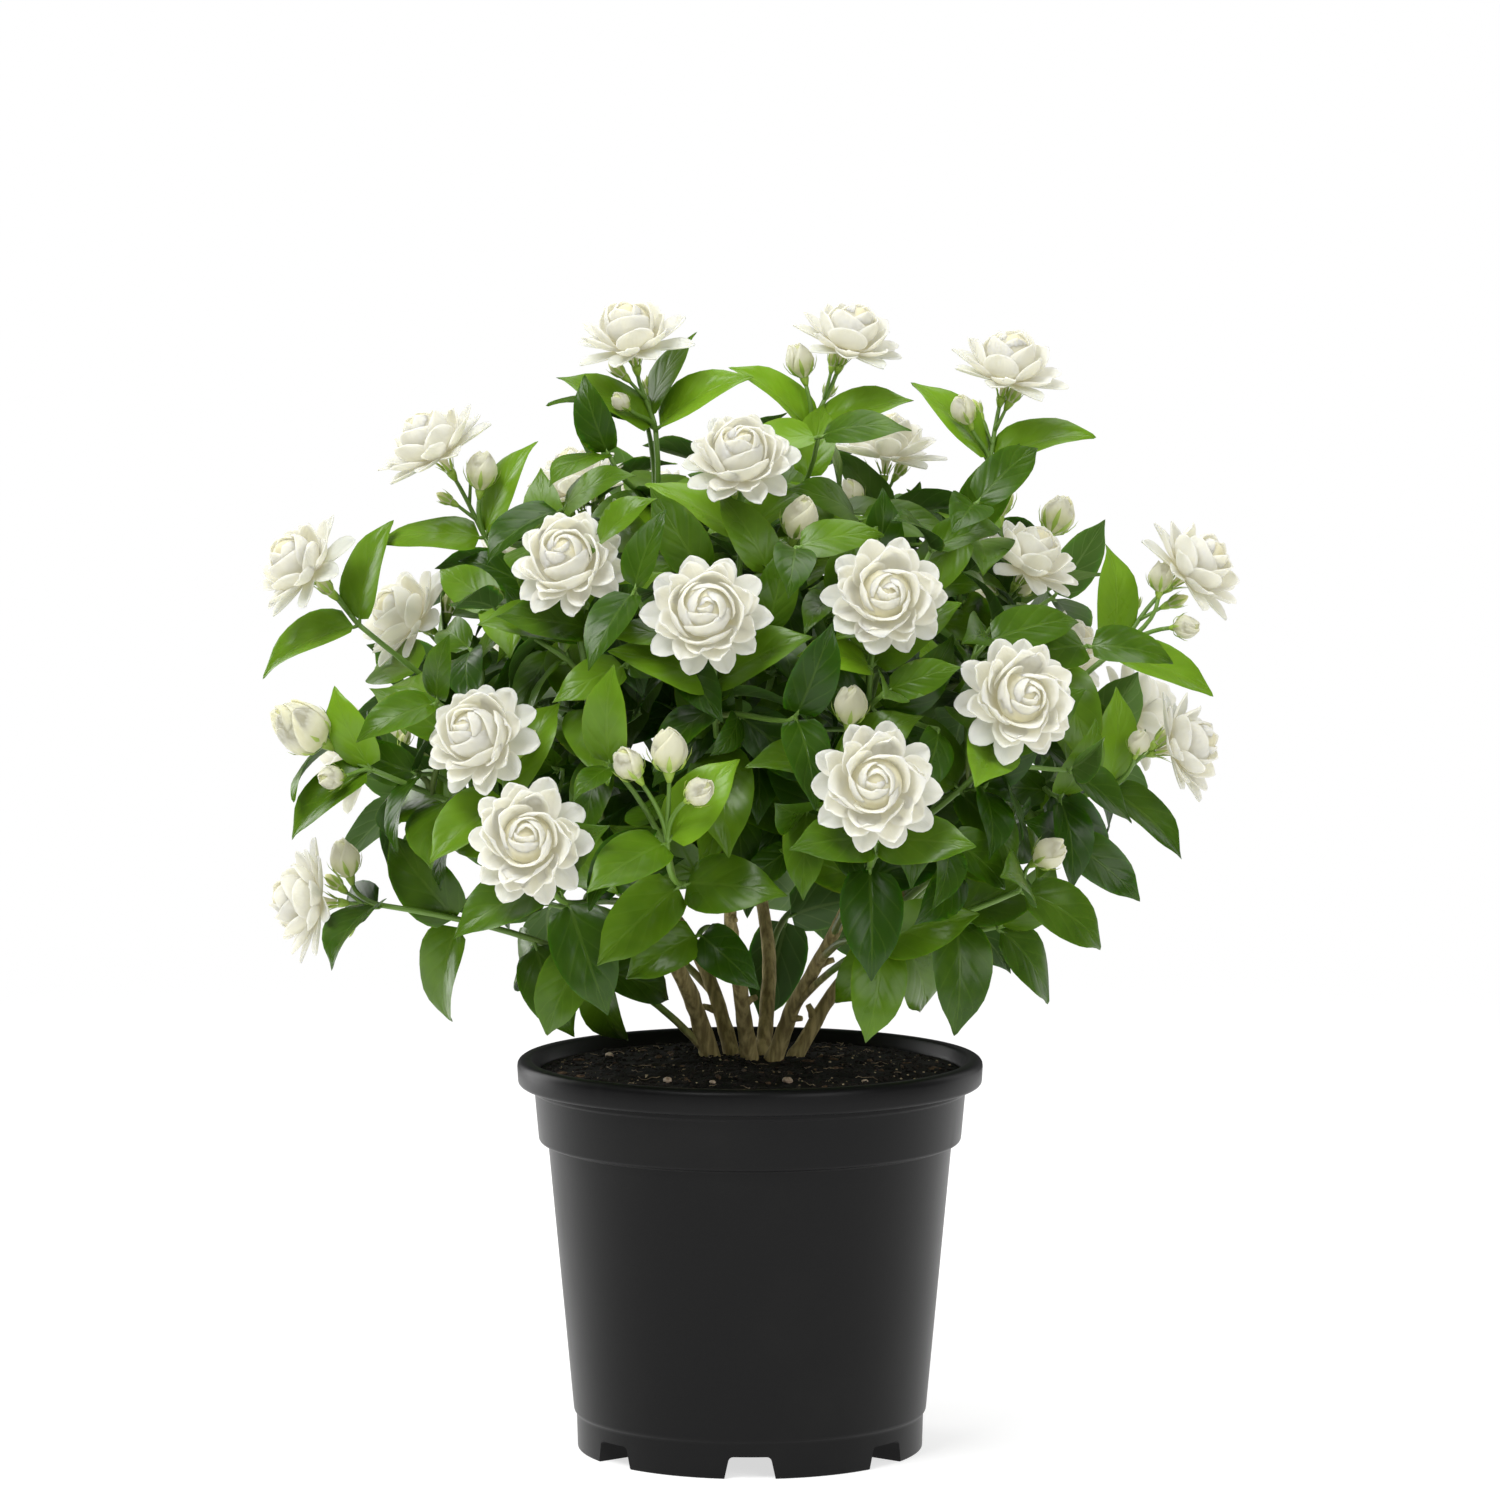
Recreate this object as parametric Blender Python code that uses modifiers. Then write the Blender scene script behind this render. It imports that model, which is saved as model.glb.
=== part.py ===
"""A potted double-flowered Arabian jasmine: black nursery pot, potting soil, woody stems
with leafy shoots, white blooms and cream buds.

The frame has +Z up, X to the right and -Y towards the front of the plant. The origin is on
the pot's axis, on the surface that it stands on.
"""

import math
from dataclasses import dataclass, field

import bmesh
import bpy
from mathutils import Matrix, Vector
from mathutils.bvhtree import BVHTree
from mathutils.geometry import interpolate_bezier

MM = 0.001
GAP = 0.3 * MM
UP = Vector((0, 0, 1))
BACK = Vector((0, 1, 0))

# Pot
POT_HEIGHT = 160 * MM
POT_SIDES = 32
WALL = 1.6 * MM
RIM_RADIUS = 95 * MM
COLLAR_TOP_RADIUS = 87.8 * MM
COLLAR_FOOT_RADIUS = 86 * MM
COLLAR_FOOT_HEIGHT = 124 * MM
BODY_TOP_RADIUS = 82.3 * MM
BODY_FOOT_RADIUS = 72 * MM
FOOT_STEP_HEIGHT = 15.5 * MM
FOOT_RADIUS = 70.5 * MM
FLOOR_UNDERSIDE = 11 * MM
FLOOR_THICKNESS = 2.2 * MM
NOTCHES = 7
NOTCH_HEIGHT = 9 * MM
NOTCH_TOP_WIDTH = 16.6 * MM
NOTCH_FOOT_WIDTH = 21.4 * MM
NOTCH_DEPTH = 12 * MM
RIM_DEPTH = 12 * MM

# Soil
SOIL_EDGE_HEIGHT = 149 * MM
SOIL_MOUND = 4.5 * MM
SOIL_LUMP = 1.1 * MM
SOIL_WAVES = ((71, 0.3), (113, 1.7), (167, 4.1))
SOIL_RINGS = (0.2, 0.45, 0.76)
HOLE_DEPTH = 16 * MM
HOLE_SIDES = 10
HOLE_CUTTER_TOP = 12 * MM

# Stems
STEM_SIDES_RESOLUTION = 1
TWIG_SIDES_RESOLUTION = 0
STEM_HEAD_RADIUS = 2.1 * MM
SHOOT_RADIUS = 1.7 * MM
SHOOT_TIP = 4 * MM
CROWN_RADIUS = 1.1 * MM
PEDICEL_RADIUS = 0.85 * MM
SHOOT_CURVE = 0.36
STALK_CURVE = 0.35

# Leaves
PAIR_SPACING = 33 * MM
LEAF_ASPECT = 0.52
LEAF_THICKNESS = 1.3 * MM
LEAF_FOLD = 0.28
LEAF_STATIONS = (0.0, 0.30, 0.68, 1.0)
LEAF_CLEARANCE = 0.9 * MM
LEAF_CLEAR_FROM = 0.17
PAIR_SIZES = (0.92, 1, 0.94, 0.86)
CROWN_LEAF_RISE = 50
RISE_LOST_A_PAIR = 18
OUTER_LEAF_SAG = 14
CROWN_LEAF_SAG = 0.35
SAG_GAINED_A_PAIR = 0.35
CROWN_LEAF_BEND = 12
BEND_GAINED_A_PAIR = 8
LEAFY_SHARE_OF_SHOOT = 0.8
FACE_TO_LIGHT = 0.75
LIGHT_FROM_ABOVE = 0.8
LIGHT_FROM_OUTSIDE = 0.4
LIGHT_FROM_NEARER_SIDE = 0.8
HEART_OF_BUSH = Vector((0, 30, 250)) * MM

# Blooms and buds, each in a frame of its own with +Z along the way it faces
BLOOM_RADIUS = 23.5 * MM
BLOOM_HEIGHT = 21.5 * MM
BLOOM_MIDDLE = 7 * MM
HEART_RADIUS = 5.4 * MM
HEART_FOLD = 1.6 * MM
TUBE_LENGTH = 9 * MM
TUBE_FOOT_RADIUS = 1.3 * MM
TUBE_HEAD_RADIUS = 5.5 * MM
TUBE_HEAD_DROP = 2.2 * MM
BUD_LENGTH = 17 * MM
BUD_RADIUS = 6 * MM
BUD_SIDES = 5
BUD_STATIONS = ((0, 0), (0.20, 0.66), (0.52, 1), (0.85, 0.62), (1, 0))
BUD_TWIST = 0.3

# The green cup at a stalk's end, with heights above that end
CUP_FLOOR = 2.5 * MM
CUP_SIDE = 4 * MM
CUP_RADIUS = 1.9 * MM
SEPAL_TIP = 8.6 * MM
BLOOM_SEAT = 5 * MM
BLOOM_SEPAL_REACH = 4.6 * MM
BUD_SEAT = 3.4 * MM
BUD_SEPAL_REACH = 6.4 * MM


def mm(x, y, z):
    """A point given in millimetres."""
    return Vector((x, y, z)) * MM


@dataclass(frozen=True)
class Stem:
    """A woody stem: the route of its middle above the soil, and its radius at the soil."""

    name: str
    route: tuple
    radius: float


@dataclass(frozen=True)
class Shoot:
    """A leafy shoot, from `start` along its stem's length to its crown.

    `roll` turns the crown's pair of leaves round the shoot, from left and right.
    """

    stem: str
    start: float
    crown: tuple
    lean: tuple
    pairs: int = 2
    roll: float = 0
    leaf: float = 48
    droop: float = 25


@dataclass(frozen=True)
class Head:
    """A bloom or a bud: the shoot that carries it, its middle, and the way it faces."""

    shoot: str
    centre: tuple
    facing: tuple
    size: float = 1.0


STEMS = (
    Stem("left", ((-16, 24, 155), (-24, 14, 183), (-38, -6, 212), (-54, -26, 240)), 3.8),
    Stem("middle", ((0, 14, 155), (-4, -2, 188), (-8, -26, 222), (-8, -50, 256)), 3.2),
    Stem("right", ((9, 15, 155), (18, 8, 180), (32, -8, 208), (46, -28, 240)), 3.3),
    Stem("right_back", ((18, 28, 155), (34, 30, 182), (54, 34, 208), (72, 38, 234)), 2.8),
    Stem("back", ((5, 38, 155), (8, 52, 190), (4, 64, 225), (0, 74, 255)), 3.0),
    Stem("left_back", ((-7, 34, 155), (-18, 42, 190), (-36, 50, 220), (-52, 56, 248)), 3.0),
)

SHOOTS = {
    # Top of the bush
    "top_left": Shoot("left_back", 0.95, (-38, -6, 416), (-0.1, -0.1, 1), 3, 0, 50),
    "top_middle": Shoot("back", 0.9, (25, 2, 414), (0.15, 0, 1), 3, 0, 48),
    "top_right": Shoot("right_back", 0.95, (97, 10, 402), (0.2, 0, 1), 3, 0, 50),
    "high_left": Shoot("left_back", 0.8, (-107, 0, 372), (-0.45, -0.1, 0.85), 2, 0, 50),
    "high_left_back": Shoot("left_back", 1.0, (-66, 58, 362), (-0.2, 0, 1), 2, 40, 46),
    "high_front": Shoot("middle", 1.0, (-4, -52, 375), (0, -0.3, 1), 2, 15, 48),
    "high_right_back": Shoot("back", 1.0, (55, 58, 376), (0.1, 0, 1), 2, 10, 46),
    "high_bud": Shoot("middle", 0.85, (14, -48, 352), (0.1, -0.2, 1), 2, 75, 44),
    "high_back": Shoot("back", 0.95, (-32, 84, 352), (-0.1, 0.2, 1), 2, 30, 46),
    # Front of the bush
    "front_left": Shoot("left", 1.0, (-66, -86, 338), (-0.1, -0.5, 0.85), 2, 10, 48),
    "front_middle": Shoot("middle", 1.0, (-14, -116, 322), (0, -0.4, 0.9), 3, 0, 50),
    "front_right": Shoot("right", 0.9, (47, -106, 328), (0.05, -0.45, 0.9), 2, 25, 48),
    "front_bud": Shoot("right", 0.8, (33, -112, 288), (0.1, -0.3, 0.9), 1, 20, 46),
    "front_trio": Shoot("middle", 0.8, (-32, -132, 262), (0, -0.3, 1), 2, 30, 48),
    "side_left": Shoot("left", 0.95, (-95, -92, 276), (-0.4, -0.5, 0.6), 2, 20, 48),
    "low_left": Shoot("left", 0.75, (-78, -122, 246), (-0.1, -0.75, 0.5), 2, 30, 50),
    "low_right": Shoot("right", 0.7, (48, -142, 264), (0.05, -0.8, 0.5), 2, 0, 48),
    "side_right": Shoot("right", 0.95, (95, -104, 296), (0.3, -0.6, 0.6), 2, 30, 48),
    # Sides of the bush
    "far_left": Shoot("left_back", 0.75, (-158, -6, 337), (-0.7, -0.1, 0.6), 3, 0, 50),
    "far_left_back": Shoot("left_back", 0.7, (-122, 34, 318), (-0.6, 0, 0.7), 2, 50, 46),
    "left_globe": Shoot("left", 0.85, (-150, -56, 283), (-0.85, -0.2, 0.4), 3, 0, 48),
    "left_low": Shoot("left", 0.15, (-148, -32, 226), (-0.95, -0.05, 0.15), 4, 90, 48, 45),
    "far_right": Shoot("right_back", 0.85, (146, -2, 325), (0.75, -0.1, 0.6), 3, 0, 50),
    "right_low": Shoot("right_back", 0.8, (144, -20, 272), (0.9, -0.1, 0.3), 2, 0, 46),
    "right_up": Shoot("right_back", 1.0, (108, 46, 338), (0.2, 0.1, 0.9), 2, 20, 46),
    "right_mid": Shoot("right_back", 0.9, (114, 42, 300), (0.6, 0.1, 0.6), 2, 60, 44),
    "right_twig": Shoot("right", 0.35, (106, -84, 238), (0.8, -0.3, 0.4), 3, 40, 50, 50),
    # Back of the bush
    "back_left": Shoot("left_back", 0.9, (-88, 78, 335), (-0.4, 0.4, 0.8), 2, 0, 46),
    "back_high": Shoot("back", 0.85, (10, 128, 330), (0, 0.6, 0.8), 2, 20, 48),
    "back_side_left": Shoot("left_back", 0.6, (-84, 124, 290), (-0.4, 0.7, 0.5), 2, 60, 48),
    "back_side_right": Shoot("right_back", 0.9, (86, 118, 306), (0.4, 0.6, 0.6), 2, 0, 48),
    "back_low": Shoot("back", 0.7, (0, 142, 258), (0, 0.9, 0.4), 2, 0, 48),
    "back_far_right": Shoot("right_back", 0.6, (140, 74, 276), (0.8, 0.4, 0.4), 2, 30, 48),
    "back_far_left": Shoot("left_back", 0.5, (-142, 84, 258), (-0.8, 0.4, 0.3), 2, 0, 48),
    # Low twigs with hanging leaves
    "skirt_left": Shoot("left", 0.5, (-62, -62, 214), (-0.5, -0.7, 0.1), 1, 60, 48, 60),
    "skirt_middle": Shoot("middle", 0.5, (-20, -78, 220), (-0.1, -0.9, -0.1), 1, 0, 40, 60),
    "skirt_right": Shoot("right", 0.55, (52, -84, 218), (0.4, -0.8, 0.1), 1, 60, 48, 60),
    "skirt_far_right": Shoot("right_back", 0.4, (100, -6, 214), (0.9, -0.3, 0.2), 1, 30, 48, 55),
    "skirt_back": Shoot("back", 0.45, (24, 116, 212), (0.2, 0.9, 0.1), 2, 30, 48, 60),
    "skirt_back_left": Shoot("left_back", 0.35, (-84, 92, 212), (-0.7, 0.6, 0.1), 1, 30, 48, 60),
    "skirt_back_right": Shoot("right_back", 0.3, (80, 92, 212), (0.6, 0.7, 0.1), 1, 30, 48, 60),
}

BLOOMS = (
    Head("top_left", (-48, -10, 456), (-0.15, -0.4, 1), 0.95),
    Head("top_middle", (41, 0, 455), (0.35, -0.35, 1), 0.90),
    Head("top_right", (105, 9, 443), (0.2, -0.35, 1), 0.95),
    Head("high_left", (-129, -2, 412), (-0.5, -0.25, 0.85), 0.95),
    Head("high_left_back", (-74, 58, 394), (-0.3, -0.1, 0.95), 0.90),
    Head("high_front", (-4, -72, 409), (0, -0.7, 0.7), 1.0),
    Head("high_right_back", (57, 60, 409), (0.1, -0.1, 1), 0.90),
    Head("front_left", (-71, -110, 370), (-0.15, -0.8, 0.45), 1.0),
    Head("front_middle", (-17, -141, 352), (-0.05, -0.9, 0.35), 1.05),
    Head("front_right", (52, -131, 358), (0.05, -0.9, 0.35), 1.05),
    Head("far_left", (-183, -12, 363), (-0.7, -0.45, 0.6), 0.92),
    Head("far_left_back", (-143, 28, 340), (-0.75, -0.45, 0.5), 0.92),
    Head("side_left", (-106, -112, 302), (-0.4, -0.8, 0.4), 1.0),
    Head("low_left", (-85, -150, 265), (-0.15, -0.95, 0.2), 1.05),
    Head("low_right", (48, -169, 288), (0.1, -0.97, 0.22), 1.08),
    Head("side_right", (104, -131, 318), (0.25, -0.92, 0.25), 1.05),
    Head("far_right", (182, -2, 362), (0.7, -0.3, 0.6), 0.95),
    Head("right_low", (177, -22, 290), (0.9, -0.3, 0.25), 0.90),
    Head("left_low", (-181, -30, 228), (-0.95, -0.25, 0.1), 0.95),
    Head("right_up", (116, 30, 364), (0.45, -0.3, 0.85), 0.90),
    Head("right_mid", (131, 44, 325), (0.7, -0.3, 0.6), 0.88),
    Head("back_left", (-98, 88, 366), (-0.35, 0.35, 0.85), 0.92),
    Head("high_back", (-38, 92, 384), (-0.1, 0.3, 0.95), 0.92),
    Head("back_high", (12, 146, 360), (0, 0.75, 0.65), 1.0),
    Head("back_side_left", (-96, 143, 312), (-0.4, 0.8, 0.4), 1.0),
    Head("back_side_right", (97, 138, 332), (0.4, 0.75, 0.5), 1.0),
    Head("back_low", (0, 168, 278), (0, 0.95, 0.3), 1.0),
    Head("back_far_right", (166, 90, 294), (0.8, 0.45, 0.35), 0.95),
    Head("back_far_left", (-168, 100, 276), (-0.8, 0.5, 0.3), 0.95),
)

BUDS = (
    Head("top_left", (-52, -20, 428), (-0.6, -0.5, 0.6), 0.55),
    Head("top_middle", (20, 0, 444), (-0.25, 0, 1), 0.9),
    Head("top_right", (86, 2, 424), (-0.4, -0.2, 0.9), 0.8),
    Head("high_left", (-108, -6, 400), (0.1, -0.1, 1), 1.0),
    Head("high_bud", (20, -64, 384), (0.3, -0.35, 0.9), 1.1),
    Head("high_right_back", (42, 50, 388), (-0.4, -0.2, 0.9), 0.75),
    Head("front_bud", (39, -121, 315), (0.1, -0.35, 0.95), 1.0),
    Head("front_trio", (-31, -146, 300), (0, -0.35, 1), 1.15),
    Head("front_trio", (-47, -143, 294), (-0.6, -0.35, 0.9), 0.9),
    Head("front_trio", (-19, -152, 284), (0.6, -0.7, 0.5), 0.85),
    Head("left_low", (-163, -30, 245), (-0.3, -0.1, 1), 0.95),
    Head("left_globe", (-180, -62, 302), (-0.75, -0.35, 0.55), 1.6),
    Head("left_globe", (-163, -52, 302), (-0.2, 0.1, 1), 0.7),
    Head("left_globe", (-166, -68, 281), (-0.6, -0.7, 0), 0.75),
    Head("far_right", (166, -4, 357), (0.1, 0, 1), 0.8),
    Head("far_right", (176, -16, 337), (0.7, -0.6, 0.1), 0.75),
    Head("right_low", (156, -30, 292), (0.2, -0.4, 0.9), 0.7),
    Head("right_twig", (118, -92, 254), (0.7, -0.4, 0.5), 0.95),
    Head("right_up", (102, 60, 386), (-0.1, 0.2, 1), 1.1),
    Head("right_up", (128, 64, 378), (0.4, 0.3, 0.9), 1.1),
    Head("back_high", (-21, 138, 354), (-0.6, 0.4, 0.7), 0.9),
    Head("back_low", (18, 156, 284), (0.6, 0.5, 0.6), 0.9),
    Head("back_far_left", (-148, 96, 284), (0, 0.3, 1), 0.9),
)


@dataclass(frozen=True)
class PetalLayer:
    """One layer of a bloom's petals, and the hollow below it.

    The petals' blunt tips lie at `reach` and `height`. Between two petals the edge comes in to
    the share `notch` of the reach and down by `dip`. `turn` is in petals.
    """

    petals: int
    reach: float
    height: float
    notch: float
    dip: float
    turn: float


INNER_PETALS = PetalLayer(5, 12.0 * MM, 17.5 * MM, 0.78, 2.5 * MM, 0.3)
MIDDLE_PETALS = PetalLayer(6, 18.5 * MM, 12 * MM, 0.72, 1.5 * MM, 0.0)
OUTER_PETALS = PetalLayer(9, BLOOM_RADIUS, 4.5 * MM, 0.66, 1.0 * MM, 0.2)


@dataclass
class Piece:
    """A mesh being built, with the tree that tells what it touches."""

    mesh: bmesh.types.BMesh
    tree: BVHTree = field(init=False)
    low: Vector = field(init=False)
    high: Vector = field(init=False)

    def __post_init__(self):
        self.tree = BVHTree.FromBMesh(self.mesh)
        points = [vert.co for vert in self.mesh.verts]
        self.low = Vector([min(point[axis] for point in points) for axis in range(3)])
        self.high = Vector([max(point[axis] for point in points) for axis in range(3)])

    def touches(self, other):
        apart = any(
            self.low[axis] > other.high[axis] or other.low[axis] > self.high[axis]
            for axis in range(3)
        )
        return not apart and bool(self.tree.overlap(other.tree))


@dataclass(frozen=True)
class Blade:
    """The middle line of a leaf: a circular arc from its root, which bends away from its face."""

    root: Vector
    along: Vector
    face: Vector
    length: float
    bend: float
    width: float

    def half_width(self, share):
        """Half the width at a share of the length: broad below the middle, with a drawn-out tip."""
        return self.width / 2 * max(math.sin(math.pi * share**0.72), 0) ** 0.8

    def point(self, share, side, lift):
        """The point at a share of the length, `side` to the right and `lift` off the face."""
        turned = self.bend * share
        radius = self.length / self.bend
        middle = self.along * math.sin(turned) - self.face * (1 - math.cos(turned))
        face = self.face * math.cos(turned) + self.along * math.sin(turned)
        return self.root + middle * radius + self.along.cross(self.face) * side + face * lift


def clear_scene():
    for old in list(bpy.data.objects):
        bpy.data.objects.remove(old, do_unlink=True)


def new_collection(name):
    made = bpy.data.collections.new(name)
    bpy.context.scene.collection.children.link(made)
    return made


def material(name, colour, roughness):
    made = bpy.data.materials.new(name)
    made.use_nodes = True
    shader = made.node_tree.nodes["Principled BSDF"]
    shader.inputs["Base Color"].default_value = (*colour, 1)
    shader.inputs["Roughness"].default_value = roughness
    shader.inputs["Metallic"].default_value = 0
    made.diffuse_color = (*colour, 1)
    return made


def add_object(name, mesh, home, finish=None):
    made = bpy.data.objects.new(name, mesh)
    if finish is not None:
        mesh.materials.clear()
        mesh.materials.append(finish)
    home.objects.link(made)
    return made


def mesh_from(bm, name):
    mesh = bpy.data.meshes.new(name)
    bm.to_mesh(mesh)
    return mesh


def evaluated_mesh(obj):
    """The object's mesh with its modifiers applied. The object is then removed."""
    graph = bpy.context.evaluated_depsgraph_get()
    mesh = bpy.data.meshes.new_from_object(obj.evaluated_get(graph))
    bpy.data.objects.remove(obj, do_unlink=True)
    return mesh


def face_outwards(bm):
    """Points a closed mesh's faces outwards. The recalculation alone can turn a folded leaf in."""
    bmesh.ops.recalc_face_normals(bm, faces=bm.faces)
    if bm.calc_volume(signed=True) < 0:
        bmesh.ops.reverse_faces(bm, faces=bm.faces)


def fuse(name, pieces):
    """One closed mesh from closed pieces that overlap, by one Boolean union on a collection."""
    first, *others = (add_object(name, mesh_from(piece, name), PIECES) for piece in pieces)
    joined = new_collection(f"{name}_joined")
    for other in others:
        PIECES.objects.unlink(other)
        joined.objects.link(other)
    union = first.modifiers.new("Union", "BOOLEAN")
    union.operation = "UNION"
    union.operand_type = "COLLECTION"
    union.collection = joined
    union.solver = "MANIFOLD"
    mesh = evaluated_mesh(first)
    for other in list(joined.objects):
        bpy.data.objects.remove(other, do_unlink=True)
    bpy.data.collections.remove(joined)
    return mesh


def facing_matrix(centre, facing):
    """The matrix that turns +Z to the facing direction and moves the origin to the centre."""
    turn = facing.normalized().to_track_quat("Z", "Y")
    return Matrix.Translation(centre) @ turn.to_matrix().to_4x4()


def tube(points, radii, resolution):
    """A closed bmesh tube along the points, made from a poly spline with filled caps."""
    curve = bpy.data.curves.new("tube", "CURVE")
    curve.dimensions = "3D"
    curve.bevel_depth = 1
    curve.bevel_resolution = resolution
    curve.use_fill_caps = True
    spline = curve.splines.new("POLY")
    spline.points.add(len(points) - 1)
    for place, point, radius in zip(spline.points, points, radii):
        place.co = (*point, 1)
        place.radius = radius
    mesh = evaluated_mesh(add_object("tube", curve, PIECES))
    bm = bmesh.new()
    bm.from_mesh(mesh)
    bpy.data.meshes.remove(mesh)
    bmesh.ops.remove_doubles(bm, verts=bm.verts, dist=0.01 * MM)
    face_outwards(bm)
    return bm


def smooth_route(points, steps):
    """Points along a smooth curve through the given points, with `steps` to each stretch."""
    route = [points[0]]
    for index in range(len(points) - 1):
        before = points[max(index - 1, 0)]
        start, end = points[index], points[index + 1]
        after = points[min(index + 2, len(points) - 1)]
        handle_out = start + (end - before) / 6
        handle_in = end - (after - start) / 6
        route += interpolate_bezier(start, handle_out, handle_in, end, steps + 1)[1:]
    return route


def along(route, share):
    """The point at a share of a route's length, and the route's direction there."""
    lengths = [(b - a).length for a, b in zip(route, route[1:])]
    left = share * sum(lengths)
    for index, length in enumerate(lengths):
        if left <= length or index == len(lengths) - 1:
            step = route[index + 1] - route[index]
            return route[index] + step * min(left / length, 1), step.normalized()
        left -= length


def stem_route(stem):
    """The stem's middle line, with a straight foot that stands in the soil."""
    points = [mm(*point) for point in stem.route]
    foot = points[0] - UP * HOLE_DEPTH
    return [foot] + smooth_route(points, 2)


def shoot_route(shoot, routes):
    """The shoot's middle line, from inside its stem to its crown."""
    start, direction = along(routes[shoot.stem], shoot.start)
    crown, lean = mm(*shoot.crown), Vector(shoot.lean).normalized()
    reach = (crown - start).length * SHOOT_CURVE
    leaving = (direction + (crown - start).normalized()).normalized()
    return interpolate_bezier(start, start + leaving * reach, crown - lean * reach, crown, 4)


def tapered(route, start_radius, end_radius):
    last = len(route) - 1
    return [start_radius + (end_radius - start_radius) * step / last for step in range(last + 1)]


def pot_profile():
    """The pot's section, from the middle of its floor up the inside and down the outside."""
    floor = FLOOR_UNDERSIDE + FLOOR_THICKNESS
    collar_inner = COLLAR_TOP_RADIUS - WALL
    return (
        (0, floor),
        (BODY_FOOT_RADIUS - WALL, floor),
        (BODY_TOP_RADIUS - WALL, COLLAR_FOOT_HEIGHT - 3 * MM),
        (COLLAR_FOOT_RADIUS - WALL, COLLAR_FOOT_HEIGHT + 1 * MM),
        (collar_inner, POT_HEIGHT - 6 * MM),
        (collar_inner + 1.2 * MM, POT_HEIGHT - 1.2 * MM),
        (RIM_RADIUS - 4.2 * MM, POT_HEIGHT),
        (RIM_RADIUS - 1 * MM, POT_HEIGHT - 1.6 * MM),
        (RIM_RADIUS, POT_HEIGHT - 5 * MM),
        (RIM_RADIUS - 0.8 * MM, POT_HEIGHT - RIM_DEPTH + 1 * MM),
        (COLLAR_TOP_RADIUS + 0.4 * MM, POT_HEIGHT - RIM_DEPTH),
        (COLLAR_FOOT_RADIUS, COLLAR_FOOT_HEIGHT + 1.5 * MM),
        (COLLAR_FOOT_RADIUS - 1 * MM, COLLAR_FOOT_HEIGHT),
        (BODY_TOP_RADIUS, COLLAR_FOOT_HEIGHT - 1.5 * MM),
        (BODY_FOOT_RADIUS, FOOT_STEP_HEIGHT),
        (FOOT_RADIUS + 0.4 * MM, FOOT_STEP_HEIGHT - 1.5 * MM),
        (FOOT_RADIUS, 0),
        (FOOT_RADIUS - 2 * WALL, 0),
        (FOOT_RADIUS - 2 * WALL, FLOOR_UNDERSIDE),
        (0, FLOOR_UNDERSIDE),
    )


def turned(name, profile, home):
    """A turned solid, by a Screw modifier on a profile of (radius, height) points."""
    bm = bmesh.new()
    verts = [bm.verts.new((radius, 0, height)) for radius, height in profile]
    for first, second in zip(verts, verts[1:]):
        bm.edges.new((first, second))
    made = add_object(name, mesh_from(bm, name), home)
    screw = made.modifiers.new("Turned", "SCREW")
    screw.steps = screw.render_steps = POT_SIDES
    screw.use_merge_vertices = True
    screw.merge_threshold = 0.01 * MM
    return made


def notch_cutters():
    """Seven wedges through the foot ring, one in the middle of the front."""
    bm = bmesh.new()
    for index in range(NOTCHES):
        made = bmesh.ops.create_cube(bm, size=1)["verts"]
        for vert in made:
            upper = vert.co.z > 0
            half = (NOTCH_TOP_WIDTH if upper else NOTCH_FOOT_WIDTH) / 2
            vert.co = (
                math.copysign(half, vert.co.x),
                -FOOT_RADIUS + math.copysign(NOTCH_DEPTH / 2, vert.co.y),
                NOTCH_HEIGHT if upper else -2 * MM,
            )
        turn = Matrix.Rotation(2 * math.pi * index / NOTCHES, 3, "Z")
        bmesh.ops.rotate(bm, verts=made, cent=(0, 0, 0), matrix=turn)
    face_outwards(bm)
    return hidden_cutter("notches", bm)


def hidden_cutter(name, bm):
    cutter = add_object(name, mesh_from(bm, name), CUTTERS)
    cutter.hide_render = True
    cutter.display_type = "WIRE"
    return cutter


def cut(obj, cutter):
    boolean = obj.modifiers.new(cutter.name, "BOOLEAN")
    boolean.operation = "DIFFERENCE"
    boolean.object = cutter


def build_pot():
    pot = turned("pot", pot_profile(), PLANT)
    pot.data.materials.append(material("black_plastic", (0.018, 0.019, 0.019), 0.42))
    cut(pot, notch_cutters())


def soil_lump(x, y):
    """How far the soil stands off its mound at a place, as a sum of a few waves."""
    height = sum(
        math.sin(rate * x + phase) * math.cos(rate * 0.8 * y - 2 * phase)
        for rate, phase in SOIL_WAVES
    )
    return SOIL_LUMP * height / len(SOIL_WAVES)


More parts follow.
